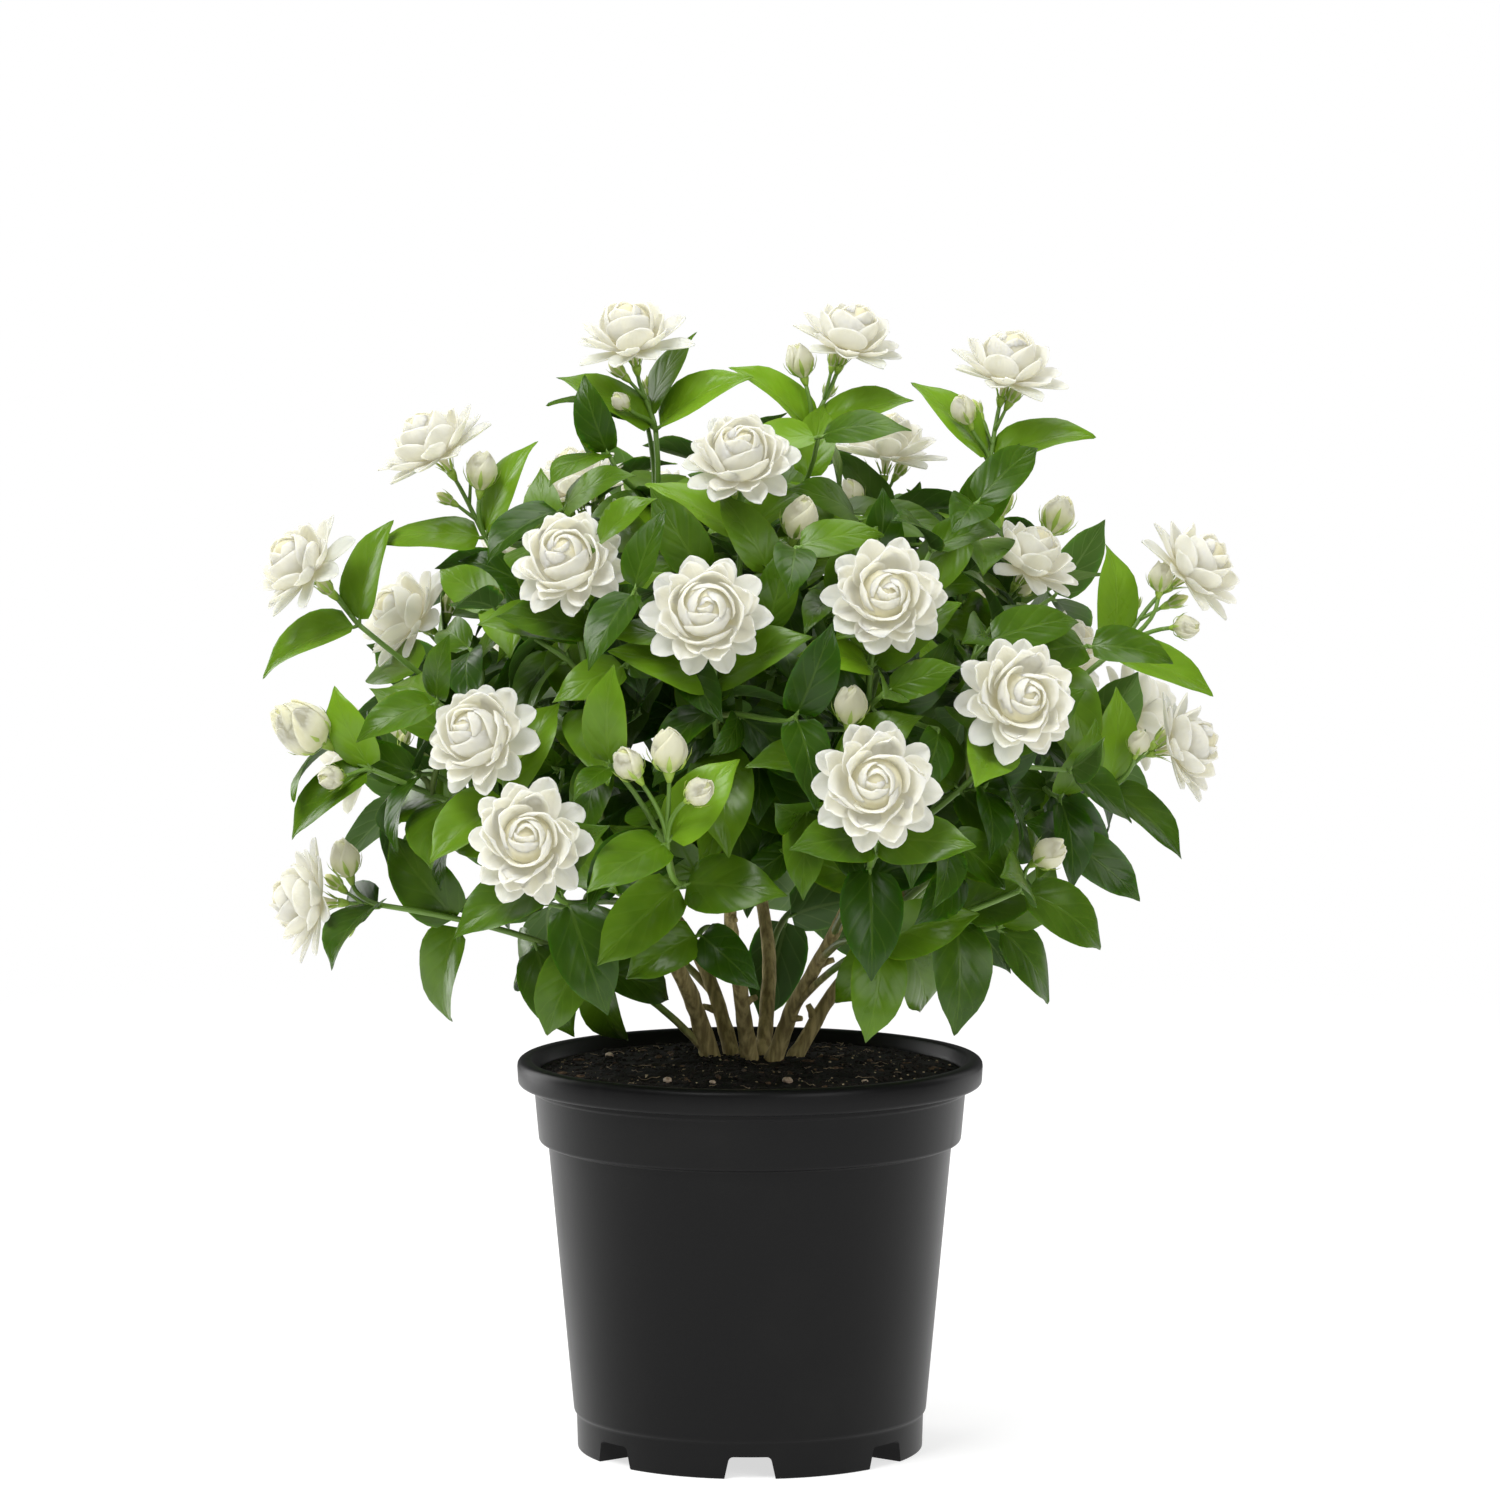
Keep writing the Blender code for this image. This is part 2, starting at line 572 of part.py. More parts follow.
def build_soil():
    """A solid fill of the pot, mounded and lumpy on top, with a hole for each stem."""
    inset = WALL + GAP
    floor = FLOOR_UNDERSIDE + FLOOR_THICKNESS + GAP
    edge = COLLAR_TOP_RADIUS - inset - 0.9 * MM
    profile = [(0, SOIL_EDGE_HEIGHT + SOIL_MOUND)]
    profile += [
        (edge * share, SOIL_EDGE_HEIGHT + SOIL_MOUND * (1 - share**2)) for share in SOIL_RINGS
    ]
    profile += [
        (edge, SOIL_EDGE_HEIGHT),
        (COLLAR_FOOT_RADIUS - inset, COLLAR_FOOT_HEIGHT + 2 * MM),
        (BODY_TOP_RADIUS - inset, COLLAR_FOOT_HEIGHT - 3 * MM),
        (BODY_FOOT_RADIUS - inset, floor),
        (0, floor),
    ]
    mesh = evaluated_mesh(turned("soil", profile, PIECES))
    for vert in mesh.vertices:
        if vert.co.z > SOIL_EDGE_HEIGHT + 0.1 * MM:
            vert.co.z += soil_lump(vert.co.x, vert.co.y)
    soil = add_object("soil", mesh, PLANT, material("potting_soil", (0.012, 0.009, 0.007), 0.95))
    cut(soil, hole_cutters())


def hole_cutters():
    """A plain hole for each stem's foot, a gap wider and deeper than the foot."""
    bm = bmesh.new()
    for stem in STEMS:
        foot = mm(*stem.route[0])
        radius = stem.radius * MM + 1.6 * GAP
        low, high = -HOLE_DEPTH - GAP, HOLE_CUTTER_TOP
        made = bmesh.ops.create_cone(
            bm,
            cap_ends=True,
            segments=HOLE_SIDES,
            radius1=radius,
            radius2=radius,
            depth=high - low,
        )["verts"]
        bmesh.ops.translate(bm, verts=made, vec=foot + UP * (low + high) / 2)
    face_outwards(bm)
    return hidden_cutter("stem_holes", bm)


def ring(bm, places):
    """A ring of vertices from (angle, radius, height) places, in the order of their angles."""
    return [
        (angle, bm.verts.new((radius * math.cos(angle), radius * math.sin(angle), height)))
        for angle, radius, height in places
    ]


def petal_ring(bm, layer):
    """The outline of one layer of blunt petals: a notch and two shoulders for each."""
    pitch = 2 * math.pi / layer.petals
    outline = ((0, layer.notch, -layer.dip), (0.24, 1, 0), (0.76, 1, 0))
    return ring(
        bm,
        [
            (pitch * (petal + share + layer.turn), layer.reach * reach, layer.height + drop)
            for petal in range(layer.petals)
            for share, reach, drop in outline
        ],
    )


def round_ring(bm, sides, radius, height, swing=0.0):
    """A ring of evenly spaced vertices, every other one `swing` further out."""
    return ring(
        bm,
        [
            (2 * math.pi * side / sides, radius + swing * (side % 2), height)
            for side in range(sides)
        ],
    )


def loft(bm, above, below):
    """Triangles between two rings with unlike numbers of vertices, by stepping round both."""
    upper, lower = 0, 0
    full = 2 * math.pi
    while upper < len(above) or lower < len(below):
        next_upper = above[(upper + 1) % len(above)][0] + full * ((upper + 1) // len(above))
        next_lower = below[(lower + 1) % len(below)][0] + full * ((lower + 1) // len(below))
        top = above[upper % len(above)][1]
        bottom = below[lower % len(below)][1]
        if lower == len(below) or (upper < len(above) and next_upper <= next_lower):
            bm.faces.new((top, bottom, above[(upper + 1) % len(above)][1]))
            upper += 1
        else:
            bm.faces.new((top, bottom, below[(lower + 1) % len(below)][1]))
            lower += 1


def close_ring(bm, places, height):
    """Closes a ring with a fan of triangles to a point on the axis."""
    middle = bm.verts.new((0, 0, height))
    for (_, first), (_, second) in zip(places, places[1:] + places[:1]):
        bm.faces.new((first, second, middle))


def bloom_mesh():
    """A double bloom: three layers of petals round a furled heart, on a short tube."""
    bm = bmesh.new()
    rings = [
        round_ring(bm, 8, HEART_RADIUS, BLOOM_HEIGHT - 1.5 * MM, swing=HEART_FOLD),
        petal_ring(bm, INNER_PETALS),
        round_ring(bm, 6, 8.8 * MM, MIDDLE_PETALS.height - 2 * MM),
        petal_ring(bm, MIDDLE_PETALS),
        round_ring(bm, 7, 12.4 * MM, OUTER_PETALS.height),
        petal_ring(bm, OUTER_PETALS),
        round_ring(bm, 5, TUBE_HEAD_RADIUS, -TUBE_HEAD_DROP),
        round_ring(bm, 4, TUBE_FOOT_RADIUS, -TUBE_LENGTH),
    ]
    close_ring(bm, rings[0], BLOOM_HEIGHT)
    for above, below in zip(rings, rings[1:]):
        loft(bm, above, below)
    close_ring(bm, rings[-1], -TUBE_LENGTH)
    face_outwards(bm)
    return mesh_from(bm, "bloom")


def level_of(vert, levels):
    """The level of a unit sphere's vertex, counted from its lower pole."""
    return levels - round(math.acos(max(-1, min(1, vert.co.z))) / math.pi * levels)


def bud_mesh():
    """A furled bud, its base at the origin."""
    bm = bmesh.new()
    levels = len(BUD_STATIONS) - 1
    made = bmesh.ops.create_uvsphere(bm, u_segments=BUD_SIDES, v_segments=levels, radius=1)["verts"]
    for vert in made:
        level = level_of(vert, levels)
        share, radius = BUD_STATIONS[level]
        around = math.atan2(vert.co.y, vert.co.x) + BUD_TWIST * level
        spread = BUD_RADIUS * radius
        vert.co = (spread * math.cos(around), spread * math.sin(around), BUD_LENGTH * share)
    return mesh_from(bm, "bud")


def flower_cup(bm, end, facing, size, reach):
    """Draws a stalk's end cap out into a cup of four narrow sepals, which holds a flower."""
    cap_faces = [
        face
        for face in bm.faces
        if all((vert.co - end).length < 1.5 * PEDICEL_RADIUS for vert in face.verts)
    ]
    cap = bmesh.ops.dissolve_faces(bm, faces=cap_faces)["region"][0]
    for edge in list(cap.edges):
        bmesh.utils.edge_split(edge, edge.verts[0], 0.5)
    cup = bmesh.ops.extrude_discrete_faces(bm, faces=[cap])["faces"][0]
    corner = max((vert.co - end).length for vert in cup.verts)
    for vert in cup.verts:
        offset = vert.co - end
        outward = (offset - facing * offset.dot(facing)).normalized()
        if offset.length > 0.9 * corner:
            vert.co = end + (outward * reach + facing * SEPAL_TIP) * size
        else:
            vert.co = end + (outward * CUP_RADIUS + facing * CUP_SIDE) * size
    middle = bmesh.ops.poke(bm, faces=[cup])["verts"][0]
    middle.co = end + facing * CUP_FLOOR * size
    face_outwards(bm)


def placed(mesh, matrix):
    """A bmesh copy of a mesh, moved by a matrix."""
    bm = bmesh.new()
    bm.from_mesh(mesh)
    bmesh.ops.transform(bm, verts=bm.verts, matrix=matrix)
    return bm


def leaf_bmesh(blade, margin=0.0, start=0.0):
    """A closed leaf with a folded, arched blade, or what is past `start` of its length.

    A margin makes it wider and thicker.
    """
    bm = bmesh.new()
    shares = (start, *LEAF_STATIONS[1:])
    levels = len(shares) - 1
    made = bmesh.ops.create_uvsphere(bm, u_segments=4, v_segments=levels, radius=1)["verts"]
    for vert in made:
        level = level_of(vert, levels)
        share = shares[level]
        ring_radius = max(math.sin(math.pi * level / levels), 0.01)
        across, up = round(vert.co.x / ring_radius), round(vert.co.y / ring_radius)
        half = blade.half_width(share)
        side = across * (half + margin)
        lift = up * (LEAF_THICKNESS / 2 + margin) + abs(across) * half * LEAF_FOLD
        vert.co = blade.point(share, side, lift if 0 < level < levels else 0)
    face_outwards(bm)
    return bm


def leaf_trials():
    """Turns and tilts, in degrees, and sizes to try for a leaf, the least changed first."""
    trials = [
        (turn, tilt, size)
        for size in (1.0, 0.86, 0.72, 0.58)
        for turn in (0, 16, -16, 32, -32, 48, -48)
        for tilt in (0, -16, 16, -32, 32)
    ]
    return sorted(
        trials, key=lambda trial: abs(trial[0]) + abs(trial[1]) + 110 * (1 - trial[2])
    )


def light_at(place):
    """The way that leaves face at a place: up, out from the bush, and to its front or back."""
    outward = (place - HEART_OF_BUSH).normalized()
    nearer_side = BACK if place.y > HEART_OF_BUSH.y else -BACK
    light = UP * LIGHT_FROM_ABOVE + outward * LIGHT_FROM_OUTSIDE
    return (light + nearer_side * LIGHT_FROM_NEARER_SIDE).normalized()


def blade_for(shoot, route, pair, hand, trial):
    """The blade of one leaf: `pair` counts down from the crown, `hand` is its side, 0 or 1."""
    turn, tilt, size = trial
    root, tangent = along(route, 1 - pair * PAIR_SPACING / route_length(route))
    points_at_viewer = abs(Vector(shoot.lean).normalized().y) > 0.6
    right = tangent.cross(UP if points_at_viewer else BACK).normalized()
    around = shoot.roll + 90 * pair + 180 * hand + turn
    outward = Matrix.Rotation(math.radians(around), 3, tangent) @ right
    away = (root - HEART_OF_BUSH).normalized().dot(outward)
    rise = math.radians(CROWN_LEAF_RISE - RISE_LOST_A_PAIR * pair - OUTER_LEAF_SAG * away + tilt)
    heading = outward * math.cos(rise) + tangent * math.sin(rise)
    sag = math.sin(math.radians(shoot.droop)) * (CROWN_LEAF_SAG + SAG_GAINED_A_PAIR * pair)
    heading = (heading - UP * sag).normalized()
    face = tangent * math.cos(rise) - outward * math.sin(rise)
    face = face.lerp(light_at(root), FACE_TO_LIGHT)
    face = (face - heading * face.dot(heading)).normalized()
    length = shoot.leaf * MM * PAIR_SIZES[min(pair, len(PAIR_SIZES) - 1)] * size
    bend = math.radians(CROWN_LEAF_BEND + BEND_GAINED_A_PAIR * pair + 0.8 * shoot.droop)
    return Blade(root, heading, face, length, bend, length * LEAF_ASPECT)


def route_length(route):
    return sum((end - start).length for start, end in zip(route, route[1:]))


def pairs_on(shoot, route):
    """The pairs of leaves that fit between the crown and the shoot's lowest fifth."""
    return min(shoot.pairs, 1 + int(LEAFY_SHARE_OF_SHOOT * route_length(route) / PAIR_SPACING))


@dataclass(frozen=True)
class Flower:
    """A bloom or a bud where it stands: its place in the world and the end of its stalk."""

    node: str
    shoot: str
    matrix: Matrix
    base: Vector
    facing: Vector
    size: float
    sepal_reach: float


def flowers_of(kind, heads, middle, foot, sepal_reach):
    """The flowers of one kind. Above their own origin is their middle, and below it their foot,
    where their stalk ends."""
    flowers = []
    for index, head in enumerate(heads, 1):
        facing = Vector(head.facing).normalized()
        origin = mm(*head.centre)
        origin -= facing * middle * head.size
        matrix = facing_matrix(origin, facing) @ Matrix.Scale(head.size, 4)
        base = origin - facing * foot * head.size
        node = f"{kind}_{index:02d}"
        flowers.append(Flower(node, head.shoot, matrix, base, facing, head.size, sepal_reach))
    return flowers


def stalk_route(crown, lean, flower, steps):
    """The route of a stalk, from a crown to a flower's cup."""
    reach = (flower.base - crown).length * STALK_CURVE
    end = flower.base
    return interpolate_bezier(crown, crown + lean * reach, end - flower.facing * reach, end, steps)


def stalk(route, radii, flower=None):
    """A four-sided stalk, with a cup at its end if it carries a flower."""
    bm = tube(route, radii, TWIG_SIDES_RESOLUTION)
    if flower is not None:
        flower_cup(bm, flower.base, flower.facing, flower.size, flower.sepal_reach)
    return bm


def grow():
    """Builds the stems, shoots, flowers and leaves, and puts their nodes in the scene."""
    white = material("petal_white", (0.86, 0.85, 0.78), 0.55)
    cream = material("bud_cream", (0.80, 0.80, 0.60), 0.5)
    green = material("jasmine_green", (0.035, 0.115, 0.012), 0.35)
    bloom_foot = TUBE_LENGTH + BLOOM_SEAT
    blooms = flowers_of("bloom", BLOOMS, BLOOM_MIDDLE, bloom_foot, BLOOM_SEPAL_REACH)
    buds = flowers_of("bud", BUDS, BUD_LENGTH / 2, BUD_SEAT, BUD_SEPAL_REACH)
    standing = place(blooms, bloom_mesh(), white) + place(buds, bud_mesh(), cream)
    stems = {stem.name: stem_route(stem) for stem in STEMS}
    parts = {stem.name: [woody_stem(stem, stems[stem.name])] for stem in STEMS}
    routes = {name: shoot_route(shoot, stems) for name, shoot in SHOOTS.items()}
    for name, shoot in SHOOTS.items():
        carried = [flower for flower in blooms + buds if flower.shoot == name]
        parts[shoot.stem] += shoot_with_stalks(shoot, routes[name], carried)
    others = standing + [Piece(piece) for pieces in parts.values() for piece in pieces]
    for name, shoot in SHOOTS.items():
        parts[shoot.stem] += grow_leaves(name, shoot, routes[name], others)
    for stem in STEMS:
        mesh = fuse(f"stem_{stem.name}", parts[stem.name])
        add_object(f"leafy_stem_{stem.name}", mesh, PLANT, green)


def place(flowers, mesh, finish):
    """Puts a copy of the mesh at each flower, and returns what the leaves have to clear."""
    mesh.materials.append(finish)
    for flower in flowers:
        add_object(flower.node, mesh, PLANT).matrix_world = flower.matrix
    return [Piece(placed(mesh, flower.matrix)) for flower in flowers]


def woody_stem(stem, route):
    foot_radius = stem.radius * MM
    radii = [foot_radius] + tapered(route[1:], foot_radius, STEM_HEAD_RADIUS)
    return tube(route, radii, STEM_SIDES_RESOLUTION)


def shoot_with_stalks(shoot, route, flowers):
    """The shoot, which runs on into the stalk of its first flower, and the other stalks."""
    crown, lean = route[-1], Vector(shoot.lean).normalized()
    radii = tapered(route, SHOOT_RADIUS, CROWN_RADIUS)
    if not flowers:
        return [stalk(route + [crown + lean * SHOOT_TIP], radii + [PEDICEL_RADIUS])]
    first = stalk_route(crown, lean, flowers[0], 3)[1:]
    pieces = [stalk(route + first, radii + [PEDICEL_RADIUS] * len(first), flowers[0])]
    for flower in flowers[1:]:
        side = stalk_route(crown - lean * CROWN_RADIUS, lean, flower, 3)
        pieces.append(stalk(side, [PEDICEL_RADIUS] * len(side), flower))
    return pieces


def grow_leaves(name, shoot, route, others):
    """Each leaf of a shoot, at the first trial that touches nothing else."""
    leaves = []
    for pair in range(pairs_on(shoot, route)):
        for hand in range(2):
            for trial in leaf_trials():
                blade = blade_for(shoot, route, pair, hand, trial)
                probe = Piece(leaf_bmesh(blade, LEAF_CLEARANCE, LEAF_CLEAR_FROM))
                if any(probe.touches(other) for other in others):
                    continue
                leaves.append(leaf_bmesh(blade))
                others.append(Piece(leaves[-1]))
                break
            else:
                print(f"no room for a leaf on {name}, pair {pair}, side {hand}")
    return leaves


clear_scene()
PLANT = new_collection("potted_jasmine")
PIECES = new_collection("pieces")
CUTTERS = new_collection("cutters")
build_pot()
build_soil()
grow()
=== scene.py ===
"""Looks of a potted double-flowered Arabian jasmine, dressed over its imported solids.

The frame has +Z up, X to the right and -Y towards the front of the plant. Places along the
plant are given in millimetres, and everything in the scene is in metres.
"""

import logging
from dataclasses import dataclass, field
from enum import Enum
from functools import lru_cache
from itertools import chain, product
from math import acos, atan2, copysign, cos, exp, floor, hypot, pi, radians, sin, sqrt
from random import Random
from typing import Callable, Iterator, Sequence

import bmesh
import bpy
from bmesh.types import BMesh, BMFace, BMVert
from bpy.types import ID, Material, Mesh, Node, NodeSocket, Object, World
from mathutils import Matrix, Vector, noise
from mathutils.geometry import interpolate_bezier
from mathutils.kdtree import KDTree


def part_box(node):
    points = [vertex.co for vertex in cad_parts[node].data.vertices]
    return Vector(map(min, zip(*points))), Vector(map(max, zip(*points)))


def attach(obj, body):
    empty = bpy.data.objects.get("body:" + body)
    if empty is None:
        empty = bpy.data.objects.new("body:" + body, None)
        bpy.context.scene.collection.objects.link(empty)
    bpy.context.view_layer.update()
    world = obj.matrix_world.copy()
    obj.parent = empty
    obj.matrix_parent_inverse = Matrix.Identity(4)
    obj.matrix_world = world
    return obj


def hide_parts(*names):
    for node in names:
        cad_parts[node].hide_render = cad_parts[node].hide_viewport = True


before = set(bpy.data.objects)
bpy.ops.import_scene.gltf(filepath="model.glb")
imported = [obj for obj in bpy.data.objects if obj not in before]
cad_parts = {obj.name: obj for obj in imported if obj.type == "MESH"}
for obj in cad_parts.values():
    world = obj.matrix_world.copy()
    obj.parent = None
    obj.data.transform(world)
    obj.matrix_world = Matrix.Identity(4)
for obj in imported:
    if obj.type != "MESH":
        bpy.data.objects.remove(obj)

MM = 0.001
UP = Vector((0, 0, 1))
BACK = Vector((0, 1, 0))
BODY = "root"
LOG = logging.getLogger("jasmine")

Pair = tuple[float, float]
Colour = tuple[float, float, float]
Shade = Colour | NodeSocket
Sheet = Callable[[float, float, float], Vector]


def mm(*values: float) -> Vector:
    """Give a place in metres from millimetres."""
    return Vector(values) * MM


class Slot(Enum):
    """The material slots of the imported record."""

    POT = "black_plastic"
    SOIL = "potting_soil"
    GREEN = "jasmine_green"
    PETAL = "petal_white"
    BUD = "bud_cream"


# Shader maths


class Value:
    """A number in a shader. Python's operators on it add Math nodes."""

    def __init__(self, nodes: "Nodes", socket: NodeSocket) -> None:
        """Wrap a socket of a node tree."""
        self.nodes = nodes
        self.socket = socket

    def math(self, operation: str, *terms: "Value | float") -> "Value":
        """Add a Math node.

        Args:
            operation: the node's operation.
            terms: its inputs, in order.

        Returns:
            The node's output.
        """
        node = self.nodes.node("ShaderNodeMath", {"operation": operation}, dict(enumerate(terms)))
        return Value(self.nodes, node.outputs[0])

    def __add__(self, other: "Value | float") -> "Value":
        """Add."""
        return self.math("ADD", self, other)

    __radd__ = __add__

    def __sub__(self, other: "Value | float") -> "Value":
        """Subtract."""
        return self.math("SUBTRACT", self, other)

    def __rsub__(self, other: float) -> "Value":
        """Subtract from a number."""
        return self.math("SUBTRACT", other, self)

    def __mul__(self, other: "Value | float") -> "Value":
        """Multiply."""
        return self.math("MULTIPLY", self, other)

    __rmul__ = __mul__

    def __pow__(self, other: "Value | float") -> "Value":
        """Raise to a power."""
        return self.math("POWER", self, other)

    def __abs__(self) -> "Value":
        """Drop the sign."""
        return self.math("ABSOLUTE", self)

    def fraction(self) -> "Value":
        """Keep what is past the whole number."""
        return self.math("FRACT", self)

    def step(self, low: float, high: float) -> "Value":
        """Rise smoothly from 0 at the low value to 1 at the high one."""
        settings = {"interpolation_type": "SMOOTHSTEP"}
        inputs = {"Value": self, "From Min": low, "From Max": high}
        node = self.nodes.node("ShaderNodeMapRange", settings, inputs)
        return Value(self.nodes, node.outputs["Result"])

    def within(self, low: float, high: float) -> "Value":
        """Turn a share from 0 to 1 into a value between two others."""
        return self * (high - low) + low


class Nodes:
    """The nodes of a material or a world, which all come from one method."""

    def __init__(self, owner: Material | World) -> None:
        """Empty the owner's node tree."""
        owner.use_nodes = True
        self.owner = owner
        self.tree = owner.node_tree
        self.tree.nodes.clear()

    def node(self, kind: str, settings: dict, inputs: dict) -> Node:
        """Add a node.

        Args:
            kind: the node's type.
            settings: its properties.
            inputs: a value, a Value or a socket for each input's name or number.

        Returns:
            The node.
        """
        made = self.tree.nodes.new(kind)
        for name, value in settings.items():
            setattr(made, name, value)
        for name, value in inputs.items():
            socket = made.inputs[name]
            value = value.socket if isinstance(value, Value) else value
            if isinstance(value, NodeSocket):
                self.tree.links.new(value, socket)
            else:
                socket.default_value = (*value, 1) if socket.type == "RGBA" else value
        return made


class Surface(Nodes):
    """A material."""

    def __init__(self, name: str) -> None:
        """Start an empty material."""
        super().__init__(bpy.data.materials.new(name))

    def coordinates(self, kind: str) -> NodeSocket:
        """Give a texture coordinate, either Object or UV."""
        return self.node("ShaderNodeTexCoord", {}, {}).outputs[kind]

    def uv(self) -> tuple[Value, Value]:
        """Give the two numbers of the UV map: across the piece and along it."""
        parts = self.node("ShaderNodeSeparateXYZ", {}, {"Vector": self.coordinates("UV")})
        return Value(self, parts.outputs["X"]), Value(self, parts.outputs["Y"])

    def attribute(self, name: str) -> Value:
        """Give a number that the mesh holds."""
        made = self.node("ShaderNodeAttribute", {"attribute_name": name}, {})
        return Value(self, made.outputs["Fac"])

    def noise(self, scale: float, detail: float = 4, stretch: Colour = (1, 1, 1)) -> Value:
        """Add noise on object coordinates.

        Args:
            scale: the number of grains in a metre.
            detail: the octaves.
            stretch: how much finer the pattern is along each axis.

        Returns:
            The noise, round 0.5.
        """
        inputs = {"Vector": self.coordinates("Object"), "Scale": stretch}
        place = self.node("ShaderNodeMapping", {}, inputs)
        inputs = {"Vector": place.outputs[0], "Scale": scale, "Detail": detail}
        return Value(self, self.node("ShaderNodeTexNoise", {}, inputs).outputs[0])

    def mix(self, factor: Value, first: Shade, second: Shade) -> NodeSocket:
        """Mix two colours.

        Args:
            factor: 0 for the first, 1 for the second.
            first: a colour or its socket.
            second: a colour or its socket.

        Returns:
            The mixed colour's socket.
        """
        made = self.node("ShaderNodeMix", {"data_type": "RGBA"}, {0: factor, 6: first, 7: second})
        return made.outputs[2]

    def bump(self, height: Value, distance: float) -> NodeSocket:
        """Turn a height from 0 to 1 into a normal, with the relief's depth in metres."""
        inputs = {"Height": height, "Distance": distance, "Strength": 1.0}
        return self.node("ShaderNodeBump", {}, inputs).outputs["Normal"]

    def finish(self, inputs: dict) -> Material:
        """Close the material with a Principled shader.

        Args:
            inputs: the shader's values and links.

        Returns:
            The material.
        """
        shader = self.node("ShaderNodeBsdfPrincipled", {}, inputs)
        self.node("ShaderNodeOutputMaterial", {}, {"Surface": shader.outputs[0]})
        return self.owner


# Finishes


@dataclass(frozen=True)
class PotPlastic:
    """Satin black moulded plastic with faint dust."""

    colour: Colour = (0.0045, 0.0045, 0.0047)
    dust: Colour = (0.017, 0.0165, 0.015)
    roughness: Pair = (0.30, 0.42)
    cloudiness: float = 0.35
    scuffing: float = 0.25
    grain: float = 0.03 * MM
    shine: float = 0.15

    def material(self) -> Material:
        """Wire the finish."""
        surface = Surface("pot_plastic")
        cloudy = surface.noise(14, 5)
        grain = surface.noise(1500, 2)
        scuffs = surface.noise(60, 6, (1, 1, 0.12)).step(0.62, 0.8)
        dusty = cloudy.step(0.5, 0.85) * self.cloudiness + scuffs * self.scuffing
        return surface.finish({
            "Base Color": surface.mix(dusty, self.colour, self.dust),
            "Roughness": cloudy.within(*self.roughness) + scuffs * 0.08,
            "Normal": surface.bump(grain, self.grain),
            "Specular IOR Level": self.shine,
        })


@dataclass(frozen=True)
class MoistSoil:
    """Near-black potting soil with paler grains."""

    dark: Colour = (0.0022, 0.0018, 0.0011)
    brown: Colour = (0.011, 0.0075, 0.0042)
    tan: Colour = (0.12, 0.08, 0.045)
    relief: float = 0.8 * MM
    shine: float = 0.3

    def material(self) -> Material:
        """Wire the finish."""
        surface = Surface("moist_soil")
        broad = surface.noise(60, 5)
        fine = surface.noise(480, 6)
        specks = surface.noise(900, 2).step(0.68, 0.74)
        colour = surface.mix(broad.step(0.4, 0.7), self.dark, self.brown)
        colour = surface.mix(specks * fine.step(0.5, 0.7), colour, self.tan)
        return surface.finish({
            "Base Color": colour,
            "Roughness": fine.within(0.7, 1.0),
            "Normal": surface.bump(fine + broad, self.relief),
            "Specular IOR Level": self.shine,
        })


@dataclass(frozen=True)
class Grain:
    """A loose bit in the soil: a crumb, a chip of bark, a fibre or a pebble."""

    name: str
    dark: Colour
    pale: Colour
    roughness: float
    relief: float = 0.2 * MM

    def material(self) -> Material:
        """Wire the finish."""
        surface = Surface(self.name)
        mottle = surface.noise(700, 4)
        return surface.finish({
            "Base Color": surface.mix(mottle.step(0.35, 0.65), self.dark, self.pale),
            "Roughness": self.roughness,
            "Normal": surface.bump(mottle, self.relief),
        })


@dataclass(frozen=True)
class Bark:
    """Grey-brown ridged bark at the foot that turns into a green shoot's skin."""

    furrow: Colour = (0.255, 0.195, 0.072)
    ridge: Colour = (0.590, 0.480, 0.210)
    olive: Colour = (0.190, 0.185, 0.075)
    green: Colour = (0.140, 0.260, 0.036)
    roughness: Pair = (0.45, 0.85)
    relief: float = 0.7 * MM

    def material(self) -> Material:
        """Wire the finish, which reads how old the wood is from 1 at the soil to 0."""
        surface = Surface("bark_to_green")
        age = surface.attribute("age")
        ridges = surface.noise(520, 5, (1, 1, 0.16))
        patches = surface.noise(60, 4, (1, 1, 0.5))
        bark = surface.mix(ridges.step(0.32, 0.7), self.furrow, self.ridge)
        bark = surface.mix(patches.step(0.5, 0.8) * 0.35, bark, self.olive)
        skin = surface.mix(patches.step(0.35, 0.7), self.green, self.olive)
        skin = surface.mix((age + patches * 0.2).step(0.25, 0.5) * 0.75, self.green, skin)
        woody = (age + (patches - 0.5) * 0.35).step(0.5, 0.72)
        return surface.finish({
            "Base Color": surface.mix(woody, skin, bark),
            "Roughness": woody.within(*self.roughness),
            "Normal": surface.bump(ridges * woody + patches * 0.1, self.relief),
        })


